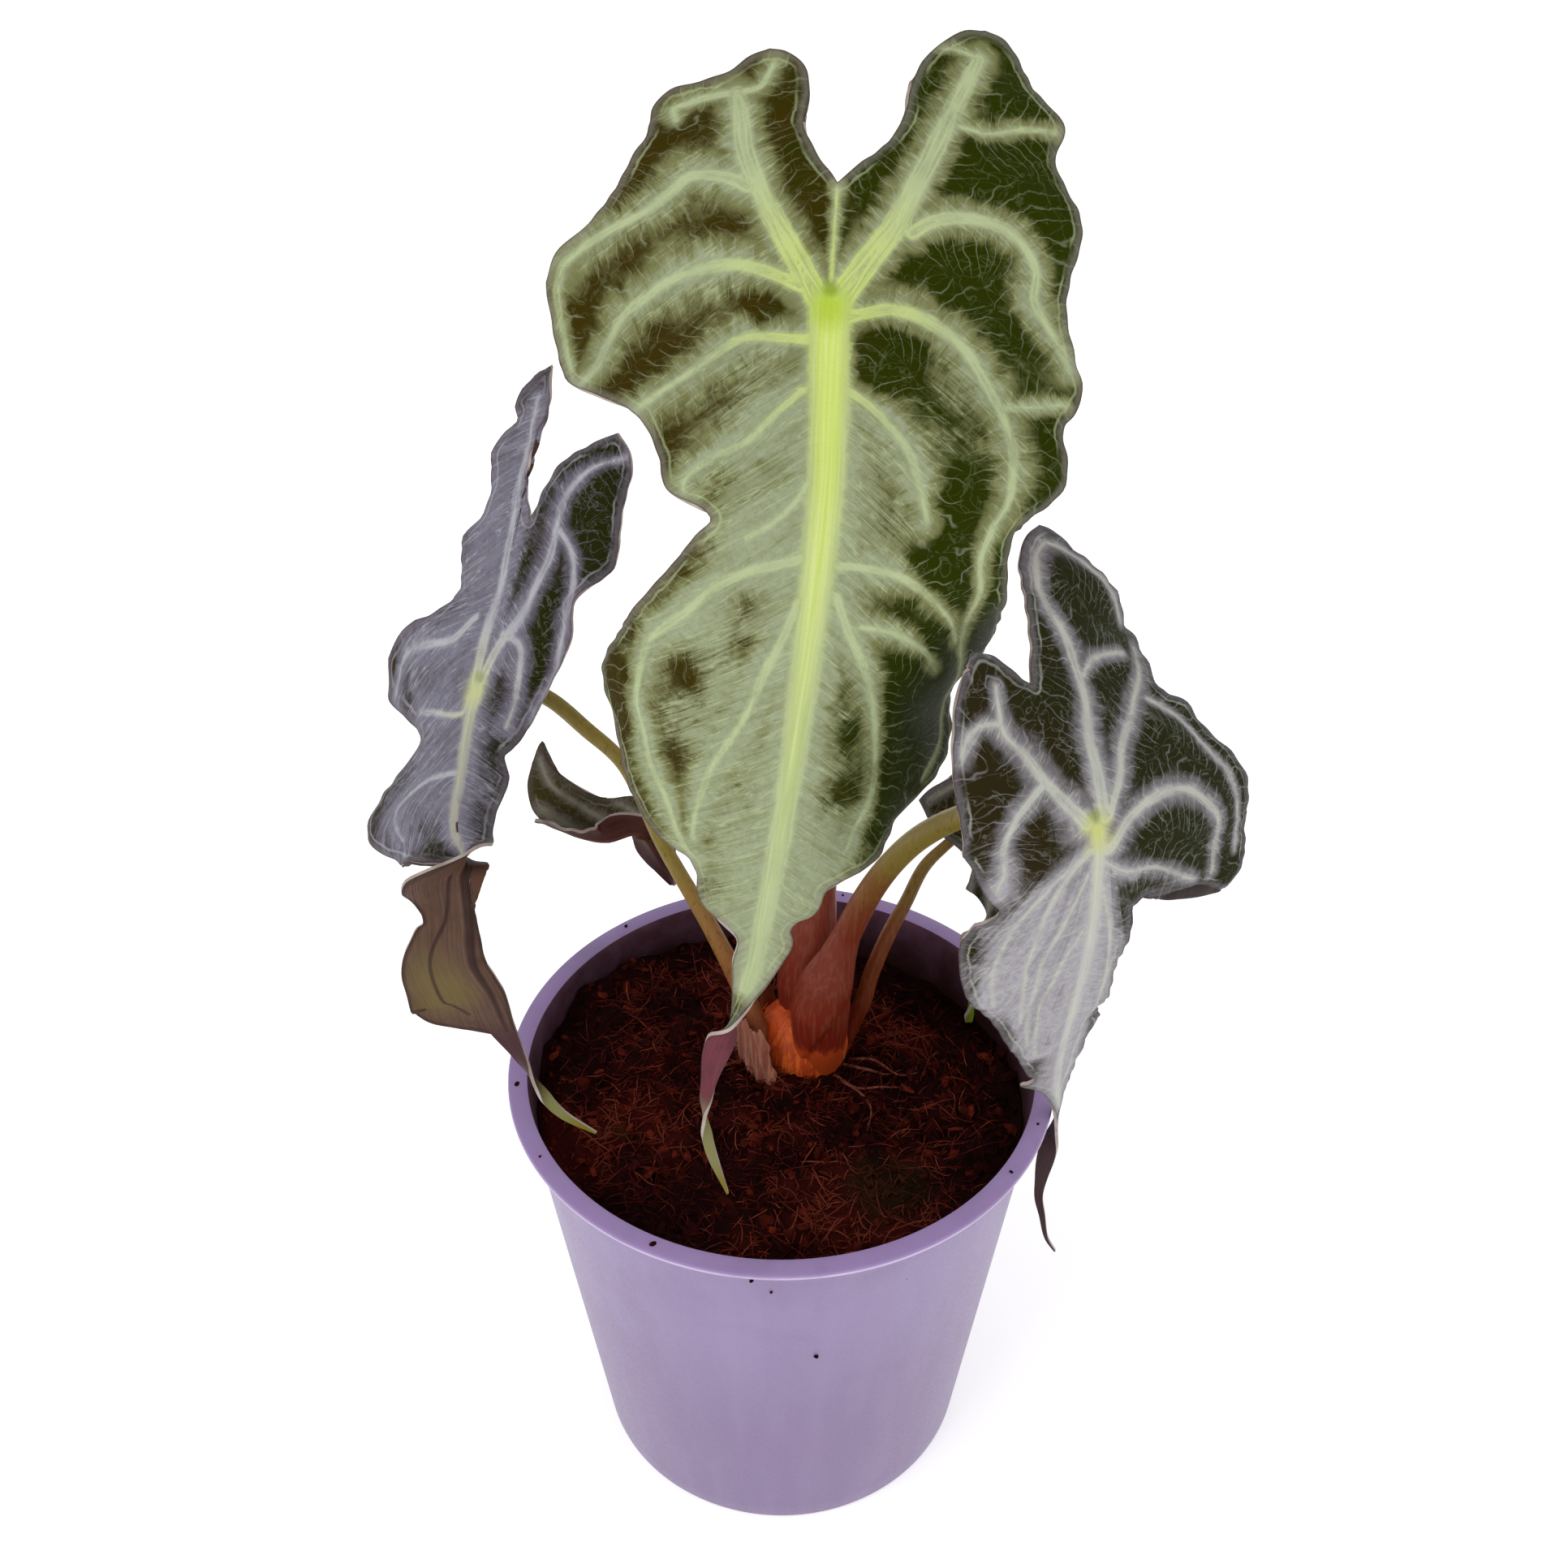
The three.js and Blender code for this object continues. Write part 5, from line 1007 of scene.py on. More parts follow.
# Patches of mist (positive) and of dark green (negative): u, w, radius in mm, strength
PATCHES = {
    "front": [(-10, -26, 8, 0.3), (-26, -24, 6, 0.25), (0, -20, 8, 0.35), (12, -12, 8, 0.55),
              (24, -8, 9, 0.7), (36, -12, 9, 0.65), (22, -24, 7, 0.35), (48, -9, 11, 0.65),
              (60, -15, 15, 0.6), (78, -12, 15, 0.6), (62, -26, 8, 0.3), (84, -24, 8, 0.3),
              (98, -5, 17, 0.6), (118, 0, 15, 0.8), (24, 8, 8, 0.6), (36, 7, 8, 0.65), (50, 6, 8, 0.6),
              (62, 5, 8, 0.5), (76, 6, 8, 0.5), (92, 5, 10, 0.6), (106, 6, 12, 0.6), (12, 20, 6, 0.45),
              (22, 22, 7, 0.4), (-6, 30, 6, 0.35), (10, 36, 6, 0.3), (40, 14, 6, 0.35), (70, -34, 8, 0.3),
              (92, -28, 8, 0.3), (9, 9, 5, -1.2), (1, -11, 3.5, -0.8), (-8, 22, 6, -0.4), (34, 23, 5, -0.6),
              (-30, 30, 7, -0.3), (71, 24, 6, -1.0), (85, 24, 6, -1.0), (45, 21, 5, -0.8),
              (57, 26, 5, -0.7), (86, -20, 4, -0.6), (98, -16, 3.5, -0.6), (69, -21, 4, -0.6),
              (51, -11, 3.5, -0.6), (75, 11, 3.5, -0.4), (83, -36, 3.5, -0.6), (65, -34, 3, -0.6),
              (75, -35, 3, -0.6), (86, 11, 3, -0.4), (27, -29, 6, -0.3), (60, -11, 3, -0.4)],
    "right": [(14, -9, 8, 0.5), (26, -8, 11, 0.65), (42, -7, 12, 0.65), (58, -3, 12, 0.75),
              (80, 0, 12, 0.85), (52, -14, 4, -0.35), (24, -22, 4, -0.25), (30, 4, 8, 0.6),
              (48, 5, 8, 0.55), (12, 5, 7, 0.45), (0, -4, 6, 0.3), (8, 16, 5, -0.3), (30, -18, 8, 0.4),
              (20, -19, 6, 0.35), (42, -16, 7, 0.4), (10, -14, 6, 0.25)],
    # Left leaf: its mist patches, strongest over its left half, are partly its own mist and partly a painted
    # silvery sheen.
    "left": [(-62, 3, 9, 0.6), (-50, -7, 11, 0.9), (-34, -9, 11, 1.0), (-18, -9, 11, 0.9),
             (-3, -10, 10, 0.8), (-4, -25, 9, 0.4), (12, -9, 10, 0.9), (26, -10, 10, 0.8), (-8, 4, 6, 0.5),
             (8, 5, 6, 0.6), (22, 4, 7, 0.7), (34, 3, 6, 0.5), (-54, 16, 6, -0.4), (-26, 20, 5, -0.3),
             (0, -27, 4, -0.2), (22, -21, 7, 0.55), (27, -24, 5, 0.2)],
    "back_left": [(-20, 8, 6, -0.3), (-8, 4, 6, 0.2)],
    "back_right": [(20, 0, 8, 0.3), (-14, 12, 6, -0.4)],
}


def glide(stations, u):
    """Values at u on the cubic curve through stations, whose first column is u."""
    s = np.asarray(stations, float)
    place, value = s[:, 0], s[:, 1:]
    step = np.diff(value, axis=0) / np.diff(place)[:, None]
    before, after = np.diff(place)[:-1, None], np.diff(place)[1:, None]
    slope = np.vstack([step[:1], (step[:-1] * after + step[1:] * before) / (before + after), step[-1:]])
    i = np.clip(np.searchsorted(place, u, side="right") - 1, 0, len(place) - 2)
    h = (place[i + 1] - place[i])[..., None]
    t = ((u - place[i]) / h[..., 0])[..., None]
    within = bow(t, value[i], value[i + 1], h * slope[i], h * slope[i + 1])
    below = value[i] + t * h * slope[i]
    above = value[i + 1] + (t - 1) * h * slope[i + 1]
    return np.where(t < 0, below, np.where(t > 1, above, within))


def unit(vectors):
    return vectors / np.linalg.norm(vectors, axis=-1, keepdims=True)


def sheet(leaf, u, w):
    """Places in mm of the bent sheet at (u, w)."""
    station = glide(leaf["axis"], u)
    along = unit(glide(leaf["axis"], u + 0.25)[:, :3] - glide(leaf["axis"], u - 0.25)[:, :3])
    across = unit(np.cross(station[:, 3:], along))
    up = np.cross(along, across)
    fold = glide(leaf["fold"], u)
    rise = np.radians(np.where(w < 0, fold[:, 0], fold[:, 1]))
    curl = np.where(w < 0, fold[:, 2], fold[:, 3])
    curl = np.radians(np.where(np.abs(curl) < 1e-6, 0.001, curl))
    turn = rise + curl * np.abs(w)
    outward = (np.sin(turn) - np.sin(rise)) / curl
    lift = (np.cos(rise) - np.cos(turn)) / curl
    return station[:, :3] + across * (np.sign(w) * outward)[:, None] + up * lift[:, None]


def sheet_normals(leaf, u, w):
    """Normals of the sheet, and how much a bend squeezes it along the leaf, 1 where it doesn't."""
    side = np.where(np.abs(w) < 1e-6, 0.6, 0.3)
    along_u = sheet(leaf, u + 0.3, w) - sheet(leaf, u - 0.3, w)
    along_w = sheet(leaf, u, w + side) - sheet(leaf, u, w - side)
    return unit(np.cross(along_u, along_w)), np.minimum(1, np.linalg.norm(along_u, axis=1) / 0.6)


def relief(u, w, to_margin):
    """Rise of the blade over its sheet in mm: sunken rib, puffed fields and a waved margin."""
    phase = np.where(w >= 0, 0.4, 1.7)
    wide = np.abs(w)
    rib = -RIB_DEPTH * np.exp(-((wide / RIB_HALF_WIDTH) ** 2))
    puff = PUFF_RISE * np.sin(u * 0.42 - wide * 0.25 + phase) * np.minimum(wide / 8, 1)
    wave = WAVE_RISE * np.sin(u * 0.3 + phase * 2) * to_margin ** 3 * np.minimum(wide / 10, 1)
    return rib + puff * (1 - to_margin ** 4) + wave


def spread(line, count):
    """Points spread evenly along the smooth curve through a line of (u, w) points."""
    share = np.linspace(0, 1, 60 * (len(line) - 1) + 1)
    fine, _ = curve_through(line, share)
    run = np.concatenate([[0], np.cumsum(np.linalg.norm(np.diff(fine, axis=0), axis=1))])
    spots = np.linspace(0, run[-1], count + 1)
    return np.stack([np.interp(spots, run, fine[:, k]) for k in range(2)], 1)


def outline_of(leaf, half):
    return leaf[("left", "right")[half]] + leaf["tip"]


def half_rows(leaf, half):
    """Rows of one half, from a rib to the margin: those of the lobe's inner side, and the others."""
    outline = np.array(outline_of(leaf, half), float)
    lobe, blade, tail, _ = leaf["counts"]
    tail_at = int(np.argmax(outline[:, 0] >= leaf["tail"]))

    def index_of(point):
        return int(np.argmin(np.abs(outline - np.array(point)).sum(1)))

    side = index_of(leaf["side"][half])
    top = leaf["top"][half]
    peak = outline[top]
    rib = spread([[0, 0], [peak[0] * 0.5, peak[1] * 0.42], [peak[0] * 0.86, peak[1] * 0.88]], lobe)
    sinus = round(lobe / 3)
    inner_edge = np.vstack([[[outline[0, 0] * i / sinus, 0] for i in range(sinus)],
                            spread(outline[:top + 1], lobe - sinus)])
    lobe_edge = spread(outline[top:side + 1], lobe)
    tail_edge = spread(outline[tail_at:], tail)
    tail_foot, end = outline[tail_at, 0], outline[-1, 0]
    if "notch" in leaf:
        notch_points, turn_foot, share = leaf["notch"]
        turn_at, turn = index_of(notch_points[half]), round(blade * share)
        side_edge = np.vstack([spread(outline[side:turn_at + 1], turn),
                               spread(outline[turn_at:tail_at + 1], blade - turn)[1:]])
    else:
        turn_foot, turn = tail_foot, blade
        side_edge = spread(outline[side:tail_at + 1], blade)
    row = np.arange(1, blade + 1)
    along = np.where(row <= turn, turn_foot * (row / turn) ** 0.95,
                     turn_foot + (tail_foot - turn_foot) * (row - turn) / max(blade - turn, 1))[:, None]
    tail_share = np.arange(1, tail + 1)[:, None] / tail
    feet = np.vstack([rib[::-1], np.hstack([along, 0 * along]),
                      np.hstack([tail_foot + (end - tail_foot) * tail_share, 0 * tail_share])])
    edges = np.vstack([lobe_edge, side_edge[1:], tail_edge[1:]])
    return (inner_edge, rib), (feet, edges)


def flat_strip(rows, columns, half, margin_first):
    """A flat strip of faces between two lines of (u, w) points, with its share of the way to the margin."""
    start, end = rows
    t = np.linspace(0, 1, columns + 1)[None, :, None]
    uw = start[:, None] * (1 - t) + end[:, None] * t
    if half == 0:
        uw = uw * np.array([1, -1])
    share = np.broadcast_to(1 - t if margin_first else t, uw.shape[:2] + (1,))
    piece = laid("strip", np.concatenate([uw, share * 0.0], 2))
    flat = points_of(piece) / MM
    table = uw.reshape(-1, 2)
    key = {(round(a, 3) + 0.0, round(b, 3) + 0.0): s
           for (a, b), s in zip(table.tolist(), share.reshape(-1).tolist())}
    values = [key.get((round(a, 3) + 0.0, round(b, 3) + 0.0), 0.0) for a, b in flat[:, :2].tolist()]
    store(piece, "to_margin", np.array(values))
    return piece


def store(piece, name, values):
    """Keeps one number, or three, per point of a mesh."""
    if values.ndim == 1:
        attribute = piece.data.attributes.new(name, "FLOAT", "POINT")
        attribute.data.foreach_set("value", values.astype(np.float32))
    else:
        attribute = piece.data.attributes.new(name, "FLOAT_VECTOR", "POINT")
        attribute.data.foreach_set("vector", values.astype(np.float32).ravel())


def from_line(spots, line):
    """Distance to a line of (u, w) points, and how far along it the nearest place is, both in mm."""
    start, step = line[:-1], np.diff(line, axis=0)
    length = np.linalg.norm(step, axis=1)
    run = np.concatenate([[0], np.cumsum(length)])[:-1]
    best, where = np.full(len(spots), 1e9), np.zeros(len(spots))
    for i in range(len(start)):
        share = np.clip(((spots - start[i]) @ step[i]) / max(length[i] ** 2, 1e-12), 0, 1)
        away = np.linalg.norm(spots - start[i] - share[:, None] * step[i], axis=1)
        nearer = away < best
        best[nearer] = away[nearer]
        where[nearer] = run[i] + share[nearer] * length[i]
    return best, where


def pattern(leaf, veins, patches, u, w):
    """Where each point lies in the leaf's pattern: its distance to the margin and to the veins, how near
    it is to one for the mist, and the patches of mist."""
    spots = np.stack([u, w], 1)
    margin = np.full(len(u), 1e9)
    for half, sign in ((0, -1), (1, 1)):
        outline = spread(outline_of(leaf, half), 260) * np.array([1, sign])
        margin = np.minimum(margin, from_line(spots, outline)[0])
    edges, runs, near = [], [], np.full(len(u), 1e9)
    for start, end, reach, line in veins:
        fine = spread([list(p) for p in line], 6 * len(line))
        away, run = from_line(spots, fine)
        total = np.linalg.norm(np.diff(fine, axis=0), axis=1).sum()
        edge = away - (start + (end - start) * run / total)
        edges.append(edge)
        runs.append(run)
        near = np.minimum(near, np.clip(edge, 0, None) / reach)
    edges, runs = np.array(edges), np.array(runs)
    nearest = edges.argmin(0)
    two = np.partition(edges, 1, axis=0)[:2]
    patch = np.zeros(len(u))
    for pu, pw, radius, strength in patches:
        patch += strength * np.exp(-((u - pu) ** 2 + (w - pw) ** 2) / radius ** 2)
    each = np.arange(len(u))
    return margin, edges[nearest, each], runs[nearest, each], two[1] - two[0], near, edges[0], patch


# Colours and settings of the leaf pattern
FACE_COLOURS = ("Field", "Warm field", "Mist", "Cool mist", "Side vein", "Joint", "Rib foot", "Rib tip",
                "Margin")
FACE_SETTINGS = ("Rib length", "Cross lines", "Cover", "Strokes", "Fringe", "Threads", "Outward", "Downward")


def leaf_pattern_group():
    """The upper face: dark fields, feathery mist, side veins, sunken rib, fine cross lines and margin."""
    group, enter, leave = effect("leaf_pattern", ["Place", "Vein", "Tone"], FACE_COLOURS, FACE_SETTINGS,
                                 ["Colour", "Roughness", "Height"])

    def part(vector, k):
        return wire(group, "SeparateXYZ", vector, out=k)

    def times(value, amount):
        return maths(group, "MULTIPLY", value, amount)

    def plus(*values):
        total = values[0]
        for value in values[1:]:
            total = maths(group, "ADD", total, value)
        return total

    def centred(value, amount):
        return times(maths(group, "SUBTRACT", value, 0.5), amount)

    def off_zero(value):
        return wire(group, "Math", value, operation="ABSOLUTE")

    def at(x, y, z=0.0):
        return wire(group, "CombineXYZ", x, y, z)

    def cloudy(place, *settings):
        return noise(group, place, *settings)

    def eased(value, *levels):
        return fade(group, value, *levels)

    u, w, to_edge = (part(enter["Place"], k) for k in range(3))
    edge, run, calm = (part(enter["Vein"], k) for k in range(3))
    near, rib, patch = (part(enter["Tone"], k) for k in range(3))
    flat = at(u, w)
    settled = eased(calm, 0.2, 2.4)
    wide = off_zero(w)
    side = eased(w, -0.1, 0.1, 0.0, 9.0)

    flow = at(times(run, 1.7), times(edge, 0.2), times(w, 0.05))
    hairs = centred(cloudy(flow, 1.0, 4, 0.7, 0.6), 1.5)
    tuft_place = wire(group, "Mapping", flow, (7, 3, 0), (0, 0, 0), (0.28, 0.7, 1))
    tufts = centred(cloudy(tuft_place, 1.0, 3), 1.6)
    fringe = times(times(plus(hairs, tufts), settled), enter["Fringe"])
    beside = eased(plus(near, fringe), -0.25, 1.2, 1.0, 0.0)
    near_soft = plus(near, times(fringe, 0.4), centred(cloudy(flat, 0.2, 3, 0.6), 2.4))
    soft = eased(near_soft, 0.1, 2.1, 0.5, 0.0)
    along = plus(u, times(wide, -0.75))
    spoke = maths(group, "DIVIDE", wide, plus(maths(group, "MAXIMUM", u, 0.0), 10.0))
    across_strokes = plus(times(along, enter["Outward"]), times(spoke, enter["Downward"]))
    stroke_place = at(across_strokes, times(wide, 0.12), side)
    strokes = times(centred(cloudy(stroke_place, 1.0, 5, 0.68, 0.6), 2.6), enter["Strokes"])
    cloud = centred(cloudy(flat, 0.13, 4, 0.6, 0.8), 0.9)
    fine_cloud = cloudy(flat, 0.6, 5, 0.65, 0.5)
    strewn = times(patch, plus(1.0, strokes))
    raw = plus(beside, strewn, enter["Cover"], cloud, times(strokes, 0.1), centred(fine_cloud, 0.5), -0.06)
    veil = plus(raw, soft)

    tone = centred(cloudy(flat, 0.09, 3, 0.6), 70.0)
    field = over(group, enter["Warm field"], enter["Field"], plus(w, tone), -18.0, 14.0)
    body = over(group, field, enter["Cool mist"], veil, 0.2, 0.98, 0.0, 0.9)
    body = over(group, body, enter["Mist"], raw, 0.45, 1.15, 0.0, 0.95)
    misty = eased(raw, 0.4, 0.95)
    streak_place = at(times(across_strokes, 0.6), times(wide, 0.08), plus(side, 20.0))
    streaks = eased(cloudy(streak_place, 1.0, 4, 0.65, 0.7), 0.36, 0.56, 0.42, 0.0)
    body = mix(group, times(streaks, misty), body, enter["Cool mist"])
    mottle = eased(cloudy(flat, 0.75, 5, 0.75), 0.36, 0.58, 0.35, 0.0)
    body = mix(group, times(mottle, misty), body, enter["Cool mist"])
    shine = eased(cloudy(flat, 1.6, 3, 0.7), 0.58, 0.75, 0.0, 0.3)
    body = mix(group, times(shine, misty), body, enter["Side vein"])

    threads = eased(off_zero(centred(cloudy(flat, 0.17, 2, 0.5, 1.2), 1.0)), 0.0, 0.016, 1.0, 0.0)
    turned_flat = wire(group, "Mapping", flat, (31, 17, 0), (0, 0, 0.9), (1, 0.45, 1))
    second = off_zero(centred(cloudy(turned_flat, 0.3, 2, 0.5, 0.8), 1.0))
    threads = maths(group, "MAXIMUM", threads, eased(second, 0.0, 0.012, 1.0, 0.0))
    body = mix(group, times(threads, enter["Threads"]), body, enter["Side vein"])
    fan_place = at(times(along, 0.5), times(wide, 0.05), plus(side, 4.0))
    fan = off_zero(centred(cloudy(fan_place, 1.0, 3, 0.6, 0.5), 1.0))
    fan = times(eased(fan, 0.0, 0.022, 1.0, 0.0), eased(raw, 0.25, 0.7, 0.0, 0.5))
    body = mix(group, fan, body, enter["Side vein"])

    slant = plus(times(run, 0.42), times(edge, -0.2), centred(cloudy(flat, 0.12, 2), 3.0))
    saw = wire(group, "Math", slant, operation="FRACT")
    comb = eased(off_zero(maths(group, "SUBTRACT", saw, 0.5)), 0.0, 0.09, 1.0, 0.0)
    comb = times(comb, times(settled, enter["Cross lines"]))
    comb = times(comb, eased(edge, 0.2, 9.0, 1.0, 0.5))
    body = mix(group, comb, body, enter["Mist"])

    grain_place = at(times(run, 0.12), times(edge, 1.6))
    along_grain = cloudy(grain_place, 1.0, 3)
    core = eased(plus(edge, centred(fine_cloud, 1.4)), -0.5, 0.7, 1.0, 0.0)
    core = times(core, eased(along_grain, 0.3, 0.62, 0.35, 0.92))
    from_joint = at(times(u, 0.8), w)
    from_joint = wire(group, "VectorMath", from_joint, operation="LENGTH")
    limed = eased(from_joint, 2.0, times(enter["Rib length"], 0.2), 0.75, 0.0)
    body = mix(group, core, body, mix(group, limed, enter["Side vein"], enter["Rib foot"]))

    rib_grain = cloudy(at(times(u, 0.03), times(w, 1.7), 0.0), 1.0, 3)
    rib_share = maths(group, "DIVIDE", u, enter["Rib length"])
    rib_colour = over(group, enter["Rib foot"], enter["Rib tip"], rib_share, 0.0, 1.0)
    lime = mix(group, 0.6, rib_colour, dye(238, 244, 190))
    rib_colour = over(group, rib_colour, lime, rib_grain, 0.42, 0.68, 0.0, 0.45)
    rib_colour = over(group, rib_colour, enter["Joint"], rib_grain, 0.34, 0.48, 0.2, 0.0)
    rib_colour = over(group, rib_colour, enter["Mist"], rib, -2.4, 0.2, 0.0, 0.5)
    rib_core = eased(plus(rib, centred(fine_cloud, 2.2), times(strokes, 0.5)), -1.2, 1.2, 1.0, 0.0)
    rib_core = times(rib_core, eased(rib_share, 0.3, 1.0, 0.96, 0.7))
    body = mix(group, rib_core, body, rib_colour)
    near_joint = eased(plus(from_joint, centred(fine_cloud, 2.0)), 0.6, 5.0, 0.75, 0.0)
    near_joint = times(near_joint, eased(edge, -0.2, 1.6, 1.0, 0.25))
    body = mix(group, near_joint, body, enter["Joint"])
    dimple_place = at(plus(u, 3.0), times(w, 0.9))
    dimple = eased(wire(group, "VectorMath", dimple_place, operation="LENGTH"), 0.4, 1.9, 0.6, 0.0)
    body = mix(group, dimple, body, mix(group, 0.65, enter["Joint"], dye(64, 96, 8)))

    # A lighter band along the margin: partly the leaf's own pale edge, partly a painted sheen.
    band = eased(plus(to_edge, centred(fine_cloud, 1.8)), 0.5, 2.0, 0.42, 0.0)
    body = mix(group, band, body, enter["Margin"])
    line = off_zero(maths(group, "SUBTRACT", to_edge, plus(1.8, centred(cloudy(flat, 0.3, 2), 1.4))))
    drawn = times(eased(line, 0.05, 0.4, 0.42, 0.0), eased(cloudy(flat, 0.1, 2), 0.36, 0.6))
    body = mix(group, drawn, body, enter["Side vein"])
    body = over(group, body, dye(70, 50, 44), to_edge, 0.05, 0.45, 0.55, 0.0)

    height = plus(times(core, -0.5), times(comb, -0.35), centred(fine_cloud, 0.5),
                  times(eased(edge, 0.0, 5.0), 0.8))
    return put_out(group, leave, Colour=body, Roughness=eased(raw, 0.3, 0.9, 0.4, 0.56), Height=height)


leaf_pattern = leaf_pattern_group()
# Upper face of each leaf: its colours, and then its settings, in the order of the labels
FACES = {
    "front": ([(40, 48, 0), (56, 46, 4), (155, 164, 134), (122, 124, 80), (182, 194, 148), (170, 196, 44),
               (206, 223, 112), (176, 187, 138), (140, 136, 124)],
              (125, 0.42, 0.04, 0.6, 0.75, 0.08, 1.1, 0)),
    "right": ([(38, 40, 16), (42, 36, 16), (170, 166, 173), (114, 110, 113), (190, 192, 180),
               (200, 206, 112), (202, 205, 180), (194, 193, 194), (130, 125, 133)],
              (36, 0.38, 0, 0.8, 0.5, 0.13, 0, 34)),
    # The left leaf's silver-lilac mist colours stand partly for a painted silvery sheen.
    "left": ([(36, 38, 6), (44, 36, 14), (128, 125, 140), (94, 89, 99), (182, 182, 188), (204, 210, 150),
              (204, 206, 172), (150, 130, 104), (132, 124, 138)],
             (70, 0.42, 0, 0.6, 0.5, 0.13, 1.1, 0)),
    "back_left": ([(70, 66, 34), (80, 68, 44), (150, 148, 140), (114, 106, 94), (160, 160, 144),
                   (150, 150, 100), (150, 148, 118), (120, 104, 88), (120, 110, 104)],
                  (20, 0.3, -0.1, 1, 0.7, 0.2, 1.1, 0)),
    "back_right": ([(38, 40, 8), (46, 40, 14), (132, 132, 132), (90, 86, 82), (150, 152, 130),
                    (150, 150, 90), (150, 150, 110), (110, 110, 60), (130, 126, 130)],
                   (40, 0.35, -0.08, 1, 0.7, 0.2, 1.1, 0)),
}
# Underside: skin and vein colours
UNDER_COLOURS = {
    "front": (dye(104, 46, 56), dye(124, 66, 76)),
    "right": (dye(40, 28, 26), dye(60, 42, 40)),
    "left": (dye(94, 68, 54), dye(46, 24, 20)),
    "back_left": (dye(72, 34, 28), dye(96, 56, 46)),
    "back_right": (dye(90, 66, 18), dye(112, 92, 34)),
}
# Drip tips: colour, and u where it begins and is full. The left leaf's underside leaves the first out
TIP_COLOURS = {
    "front": [(dye(126, 122, 82), 156, 164), (dye(120, 108, 38), 171, 178)],
    "right": [(dye(62, 40, 40), 100, 112)],
    "left": [(dye(92, 66, 54), 38, 41), (dye(66, 34, 38), 74, 84), (dye(124, 122, 78), 94, 101),
             (dye(118, 108, 30), 104, 111)],
    "back_left": [(dye(62, 28, 26), 2, 9)],
    "back_right": [(dye(98, 112, 28), 34, 44)],
}


OLIVE_PLACE = (66, 9, 0)


def tip_group():
    """Colour of a stretch of the drip tip, from one place along the leaf to another."""
    group, enter, leave = effect("drip_tip", ["Place"], ["Body", "Tip"], ["From", "Full"], ["Colour"])
    u = wire(group, "SeparateXYZ", enter["Place"])
    share = fade(group, u, enter["From"], enter["Full"])
    return put_out(group, leave, Colour=mix(group, share, enter["Body"], enter["Tip"]))


def underside_group():
    """The lower face: fine lines along the leaf, dark blotches, raised veins and an olive patch."""
    group, enter, leave = effect("leaf_underside", ["Place", "Vein"], ["Skin", "Vein colour"], ["Olive"],
                                 ["Colour", "Roughness", "Height"])
    place, skin, vein = enter["Place"], enter["Skin"], enter["Vein colour"]
    u, w, to_edge = (wire(group, "SeparateXYZ", place, out=k) for k in range(3))
    lines = noise(group, wire(group, "Mapping", place, None, None, (0.05, 2.6, 0)), 1.0, 3, 0.6, 0.3)
    body = over(group, skin, vein, lines, 0.42, 0.66, 0, 0.4)
    blotch = noise(group, place, 0.3, 4, 0.6)
    dark = dye(30, 14, 12)
    body = over(group, body, mix(group, 0.5, skin, dark), blotch, 0.45, 0.7, 0, 0.55)
    off_patch = from_place(group, wire(group, "CombineXYZ", u, w, 0.0), OLIVE_PLACE)
    body = over(group, body, dye(112, 100, 52), off_patch, 2.0, 11.0, enter["Olive"], 0.0)
    edge = wire(group, "SeparateXYZ", enter["Vein"])
    body = over(group, body, vein, edge, -0.2, 0.4, 0.85, 0.0)
    body = over(group, body, mix(group, 0.5, vein, dark), to_edge, 0.3, 1.1, 0.6, 0.0)
    return put_out(group, leave, Colour=body, Roughness=fade(group, lines, 0.3, 0.7, 0.5, 0.64), Height=lines)


drip_tip, leaf_underside = tip_group(), underside_group()


def with_tips(tree, tips, place, colour):
    """Lays the colours of the drip tip over the leaf's."""
    for tip, begin, full in tips:
        colour = use(tree, drip_tip, {"Place": place, "Body": colour, "Tip": tip, "From": begin,
                                      "Full": full})["Colour"]
    return colour


def from_mesh(tree, *labels):
    """What the mesh keeps for its pattern, by label."""
    return {label: wire(tree, "Attribute", out=1, attribute_name="leaf_" + label.lower()) for label in labels}


def face_material(name):
    made, tree, shader = material(f"leaf_face_{name}", Specular_IOR_Level=0.02)
    colours, settings = FACES[name]
    kept = from_mesh(tree, "Place", "Vein", "Tone")
    shown = use(tree, leaf_pattern, {**kept, **dict(zip(FACE_COLOURS, (dye(*c) for c in colours))),
                                     **dict(zip(FACE_SETTINGS, settings))})
    colour = with_tips(tree, TIP_COLOURS[name], kept["Place"], shown["Colour"])
    feed(tree, shader, colour, shown["Roughness"], shown["Height"], 0.5, 0.0004)
    return made


def under_material(name):
    made, tree, shader = material(f"leaf_under_{name}", Specular_IOR_Level=0.2)
    skin, vein = UNDER_COLOURS[name]
    kept = from_mesh(tree, "Place", "Vein")
    olive = 0.6 if name == "left" else 0.0
    shown = use(tree, leaf_underside, {**kept, "Skin": skin, "Vein colour": vein, "Olive": olive})
    tips = TIP_COLOURS[name][1 if name == "left" else 0:]
    colour = with_tips(tree, tips, kept["Place"], shown["Colour"])
    feed(tree, shader, colour, shown["Roughness"], shown["Height"], 0.5, 0.0004)
    return made


edge_finish, tree, shader = material("leaf_edge", Roughness=0.5)
feed(tree, shader, mix(tree, noise(tree, here(tree), 300, 3), dye(104, 82, 76), dye(206, 194, 184)))

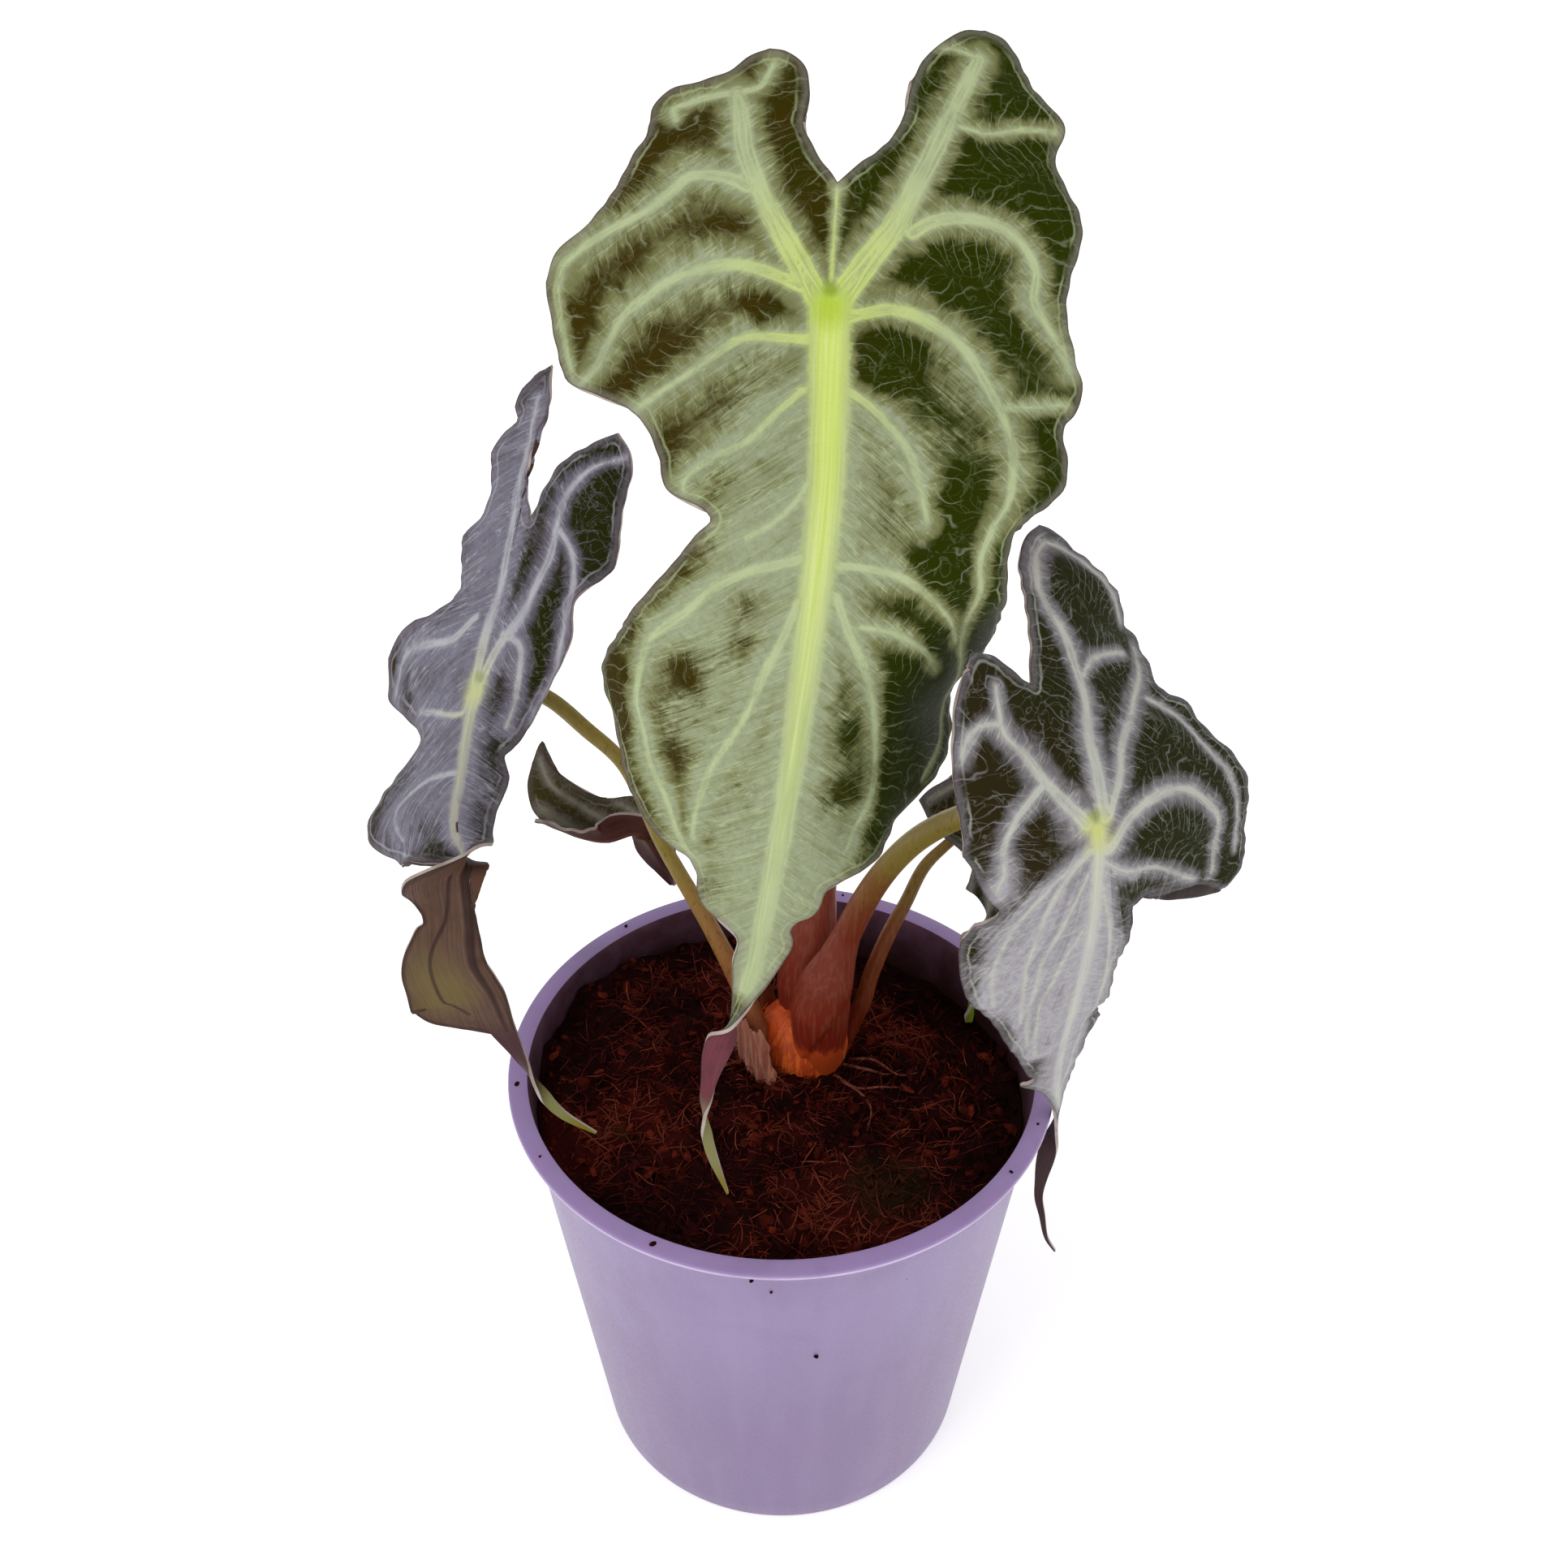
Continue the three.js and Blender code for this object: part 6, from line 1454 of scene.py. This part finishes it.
for name, leaf in LEAVES.items():
    strips = []
    for half in (0, 1):
        for margin_first, rows in zip((True, False), half_rows(leaf, half)):
            strips.append(flat_strip(rows, leaf["counts"][3], half, margin_first))
    blade = join(f"leaf_{name}", strips)
    edit_all(bpy.ops.mesh.remove_doubles, threshold=2e-6)
    edit_all(bpy.ops.mesh.normals_make_consistent, inside=False)
    tilt = np.empty(len(blade.data.polygons) * 3)
    blade.data.polygons.foreach_get("normal", tilt)
    if tilt[2::3].mean() < 0:
        edit_all(bpy.ops.mesh.flip_normals)
    flat = points_of(blade) / MM
    u, w = flat[:, 0], flat[:, 1]
    to_margin = np.empty(len(u), dtype=np.float32)
    blade.data.attributes["to_margin"].data.foreach_get("value", to_margin)
    margin, edge, run, calm, near, rib, patch = pattern(leaf, VEINS[name], PATCHES[name], u, w)
    store(blade, "leaf_place", np.stack([u, w, margin], 1))
    store(blade, "leaf_vein", np.stack([edge, run, calm], 1))
    store(blade, "leaf_tone", np.stack([near, rib, patch], 1))
    rise = relief(u, w, to_margin)
    puff = PUFF_RISE * (1 - np.exp(-np.clip(edge, 0, None) / 2.5)) * np.clip(margin / 3, 0, 1)
    ripple = RIPPLE_RISE * np.sin(u * 1.3 + 2 * np.sin(w * 0.4)) * np.exp(-margin / 2.5)
    normals, squeeze = sheet_normals(leaf, u, w)
    rise = (rise + puff - 0.15 + ripple) * np.clip((leaf["tail"] - u) / FLAT_LENGTH, 0, 1) * squeeze
    put_points(blade, (sheet(leaf, u, w) + normals * rise[:, None]) * MM)
    for finish in (face_material(name), under_material(name), edge_finish):
        blade.data.materials.append(finish)
    finish_with(blade, "SOLIDIFY", thickness=BLADE_THICKNESS * MM, offset=0, material_offset=1,
                material_offset_rim=2)
    smooth(blade, 70)
    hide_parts(f"blade_{name}")
    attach(blade, "root")


# Studio
# A plain pale floor, soft light from all round with a broad lamp at the upper left, and the camera
# at the photograph's angle.
LENS, SENSOR = 43.23, 36
EYE_PLACE = (0.0006, -0.299, 0.403)
EYE_PITCH = 36.34
FLOOR_GLOW, SKY_GLOW = 0.42, 0.66
PLANT_MIDDLE = (0, 0, 0.17)
floor = fresh(bpy.ops.mesh.primitive_plane_add, size=8)
floor.name = "floor"
paper, tree, shader = material("pale_floor", Roughness=0.9, Specular_IOR_Level=0.1)
shader.inputs["Base Color"].default_value = (0.93, 0.93, 0.93, 1)
shader.inputs["Emission Color"].default_value = (1, 1, 1, 1)
shader.inputs["Emission Strength"].default_value = FLOOR_GLOW
floor.data.materials.append(paper)

world = bpy.data.worlds.new("studio_light")
world.use_nodes = True
world.node_tree.nodes["Background"].inputs["Color"].default_value = (1, 1, 1, 1)
world.node_tree.nodes["Background"].inputs["Strength"].default_value = SKY_GLOW
bpy.context.scene.world = world


def lamp(name, place, size, power):
    """A square area lamp that looks at the middle of the plant."""
    light = bpy.data.lights.new(name, "AREA")
    light.size = size
    light.energy = power
    lamp_object = bpy.data.objects.new(name, light)
    bpy.context.collection.objects.link(lamp_object)
    lamp_object.location = place
    way = np.array(PLANT_MIDDLE) - np.array(place)
    flat = math.hypot(way[0], way[1])
    lamp_object.rotation_euler = (math.atan2(flat, -way[2]), 0, math.atan2(way[1], way[0]) - math.pi / 2)


lamp("upper_left_lamp", (-0.9, -0.8, 1.3), 1.0, 8)
lamp("right_lamp", (1.2, -0.6, 0.9), 1.0, 3)

eye = bpy.data.cameras.new("photo_view")
eye.lens = LENS
eye.sensor_width = SENSOR
eye.clip_start = 0.01
camera = bpy.data.objects.new("photo_view", eye)
bpy.context.collection.objects.link(camera)
camera.location = EYE_PLACE
camera.rotation_euler = (math.radians(90 - EYE_PITCH), 0, 0)
bpy.context.scene.camera = camera
bpy.context.scene.view_settings.view_transform = "Standard"
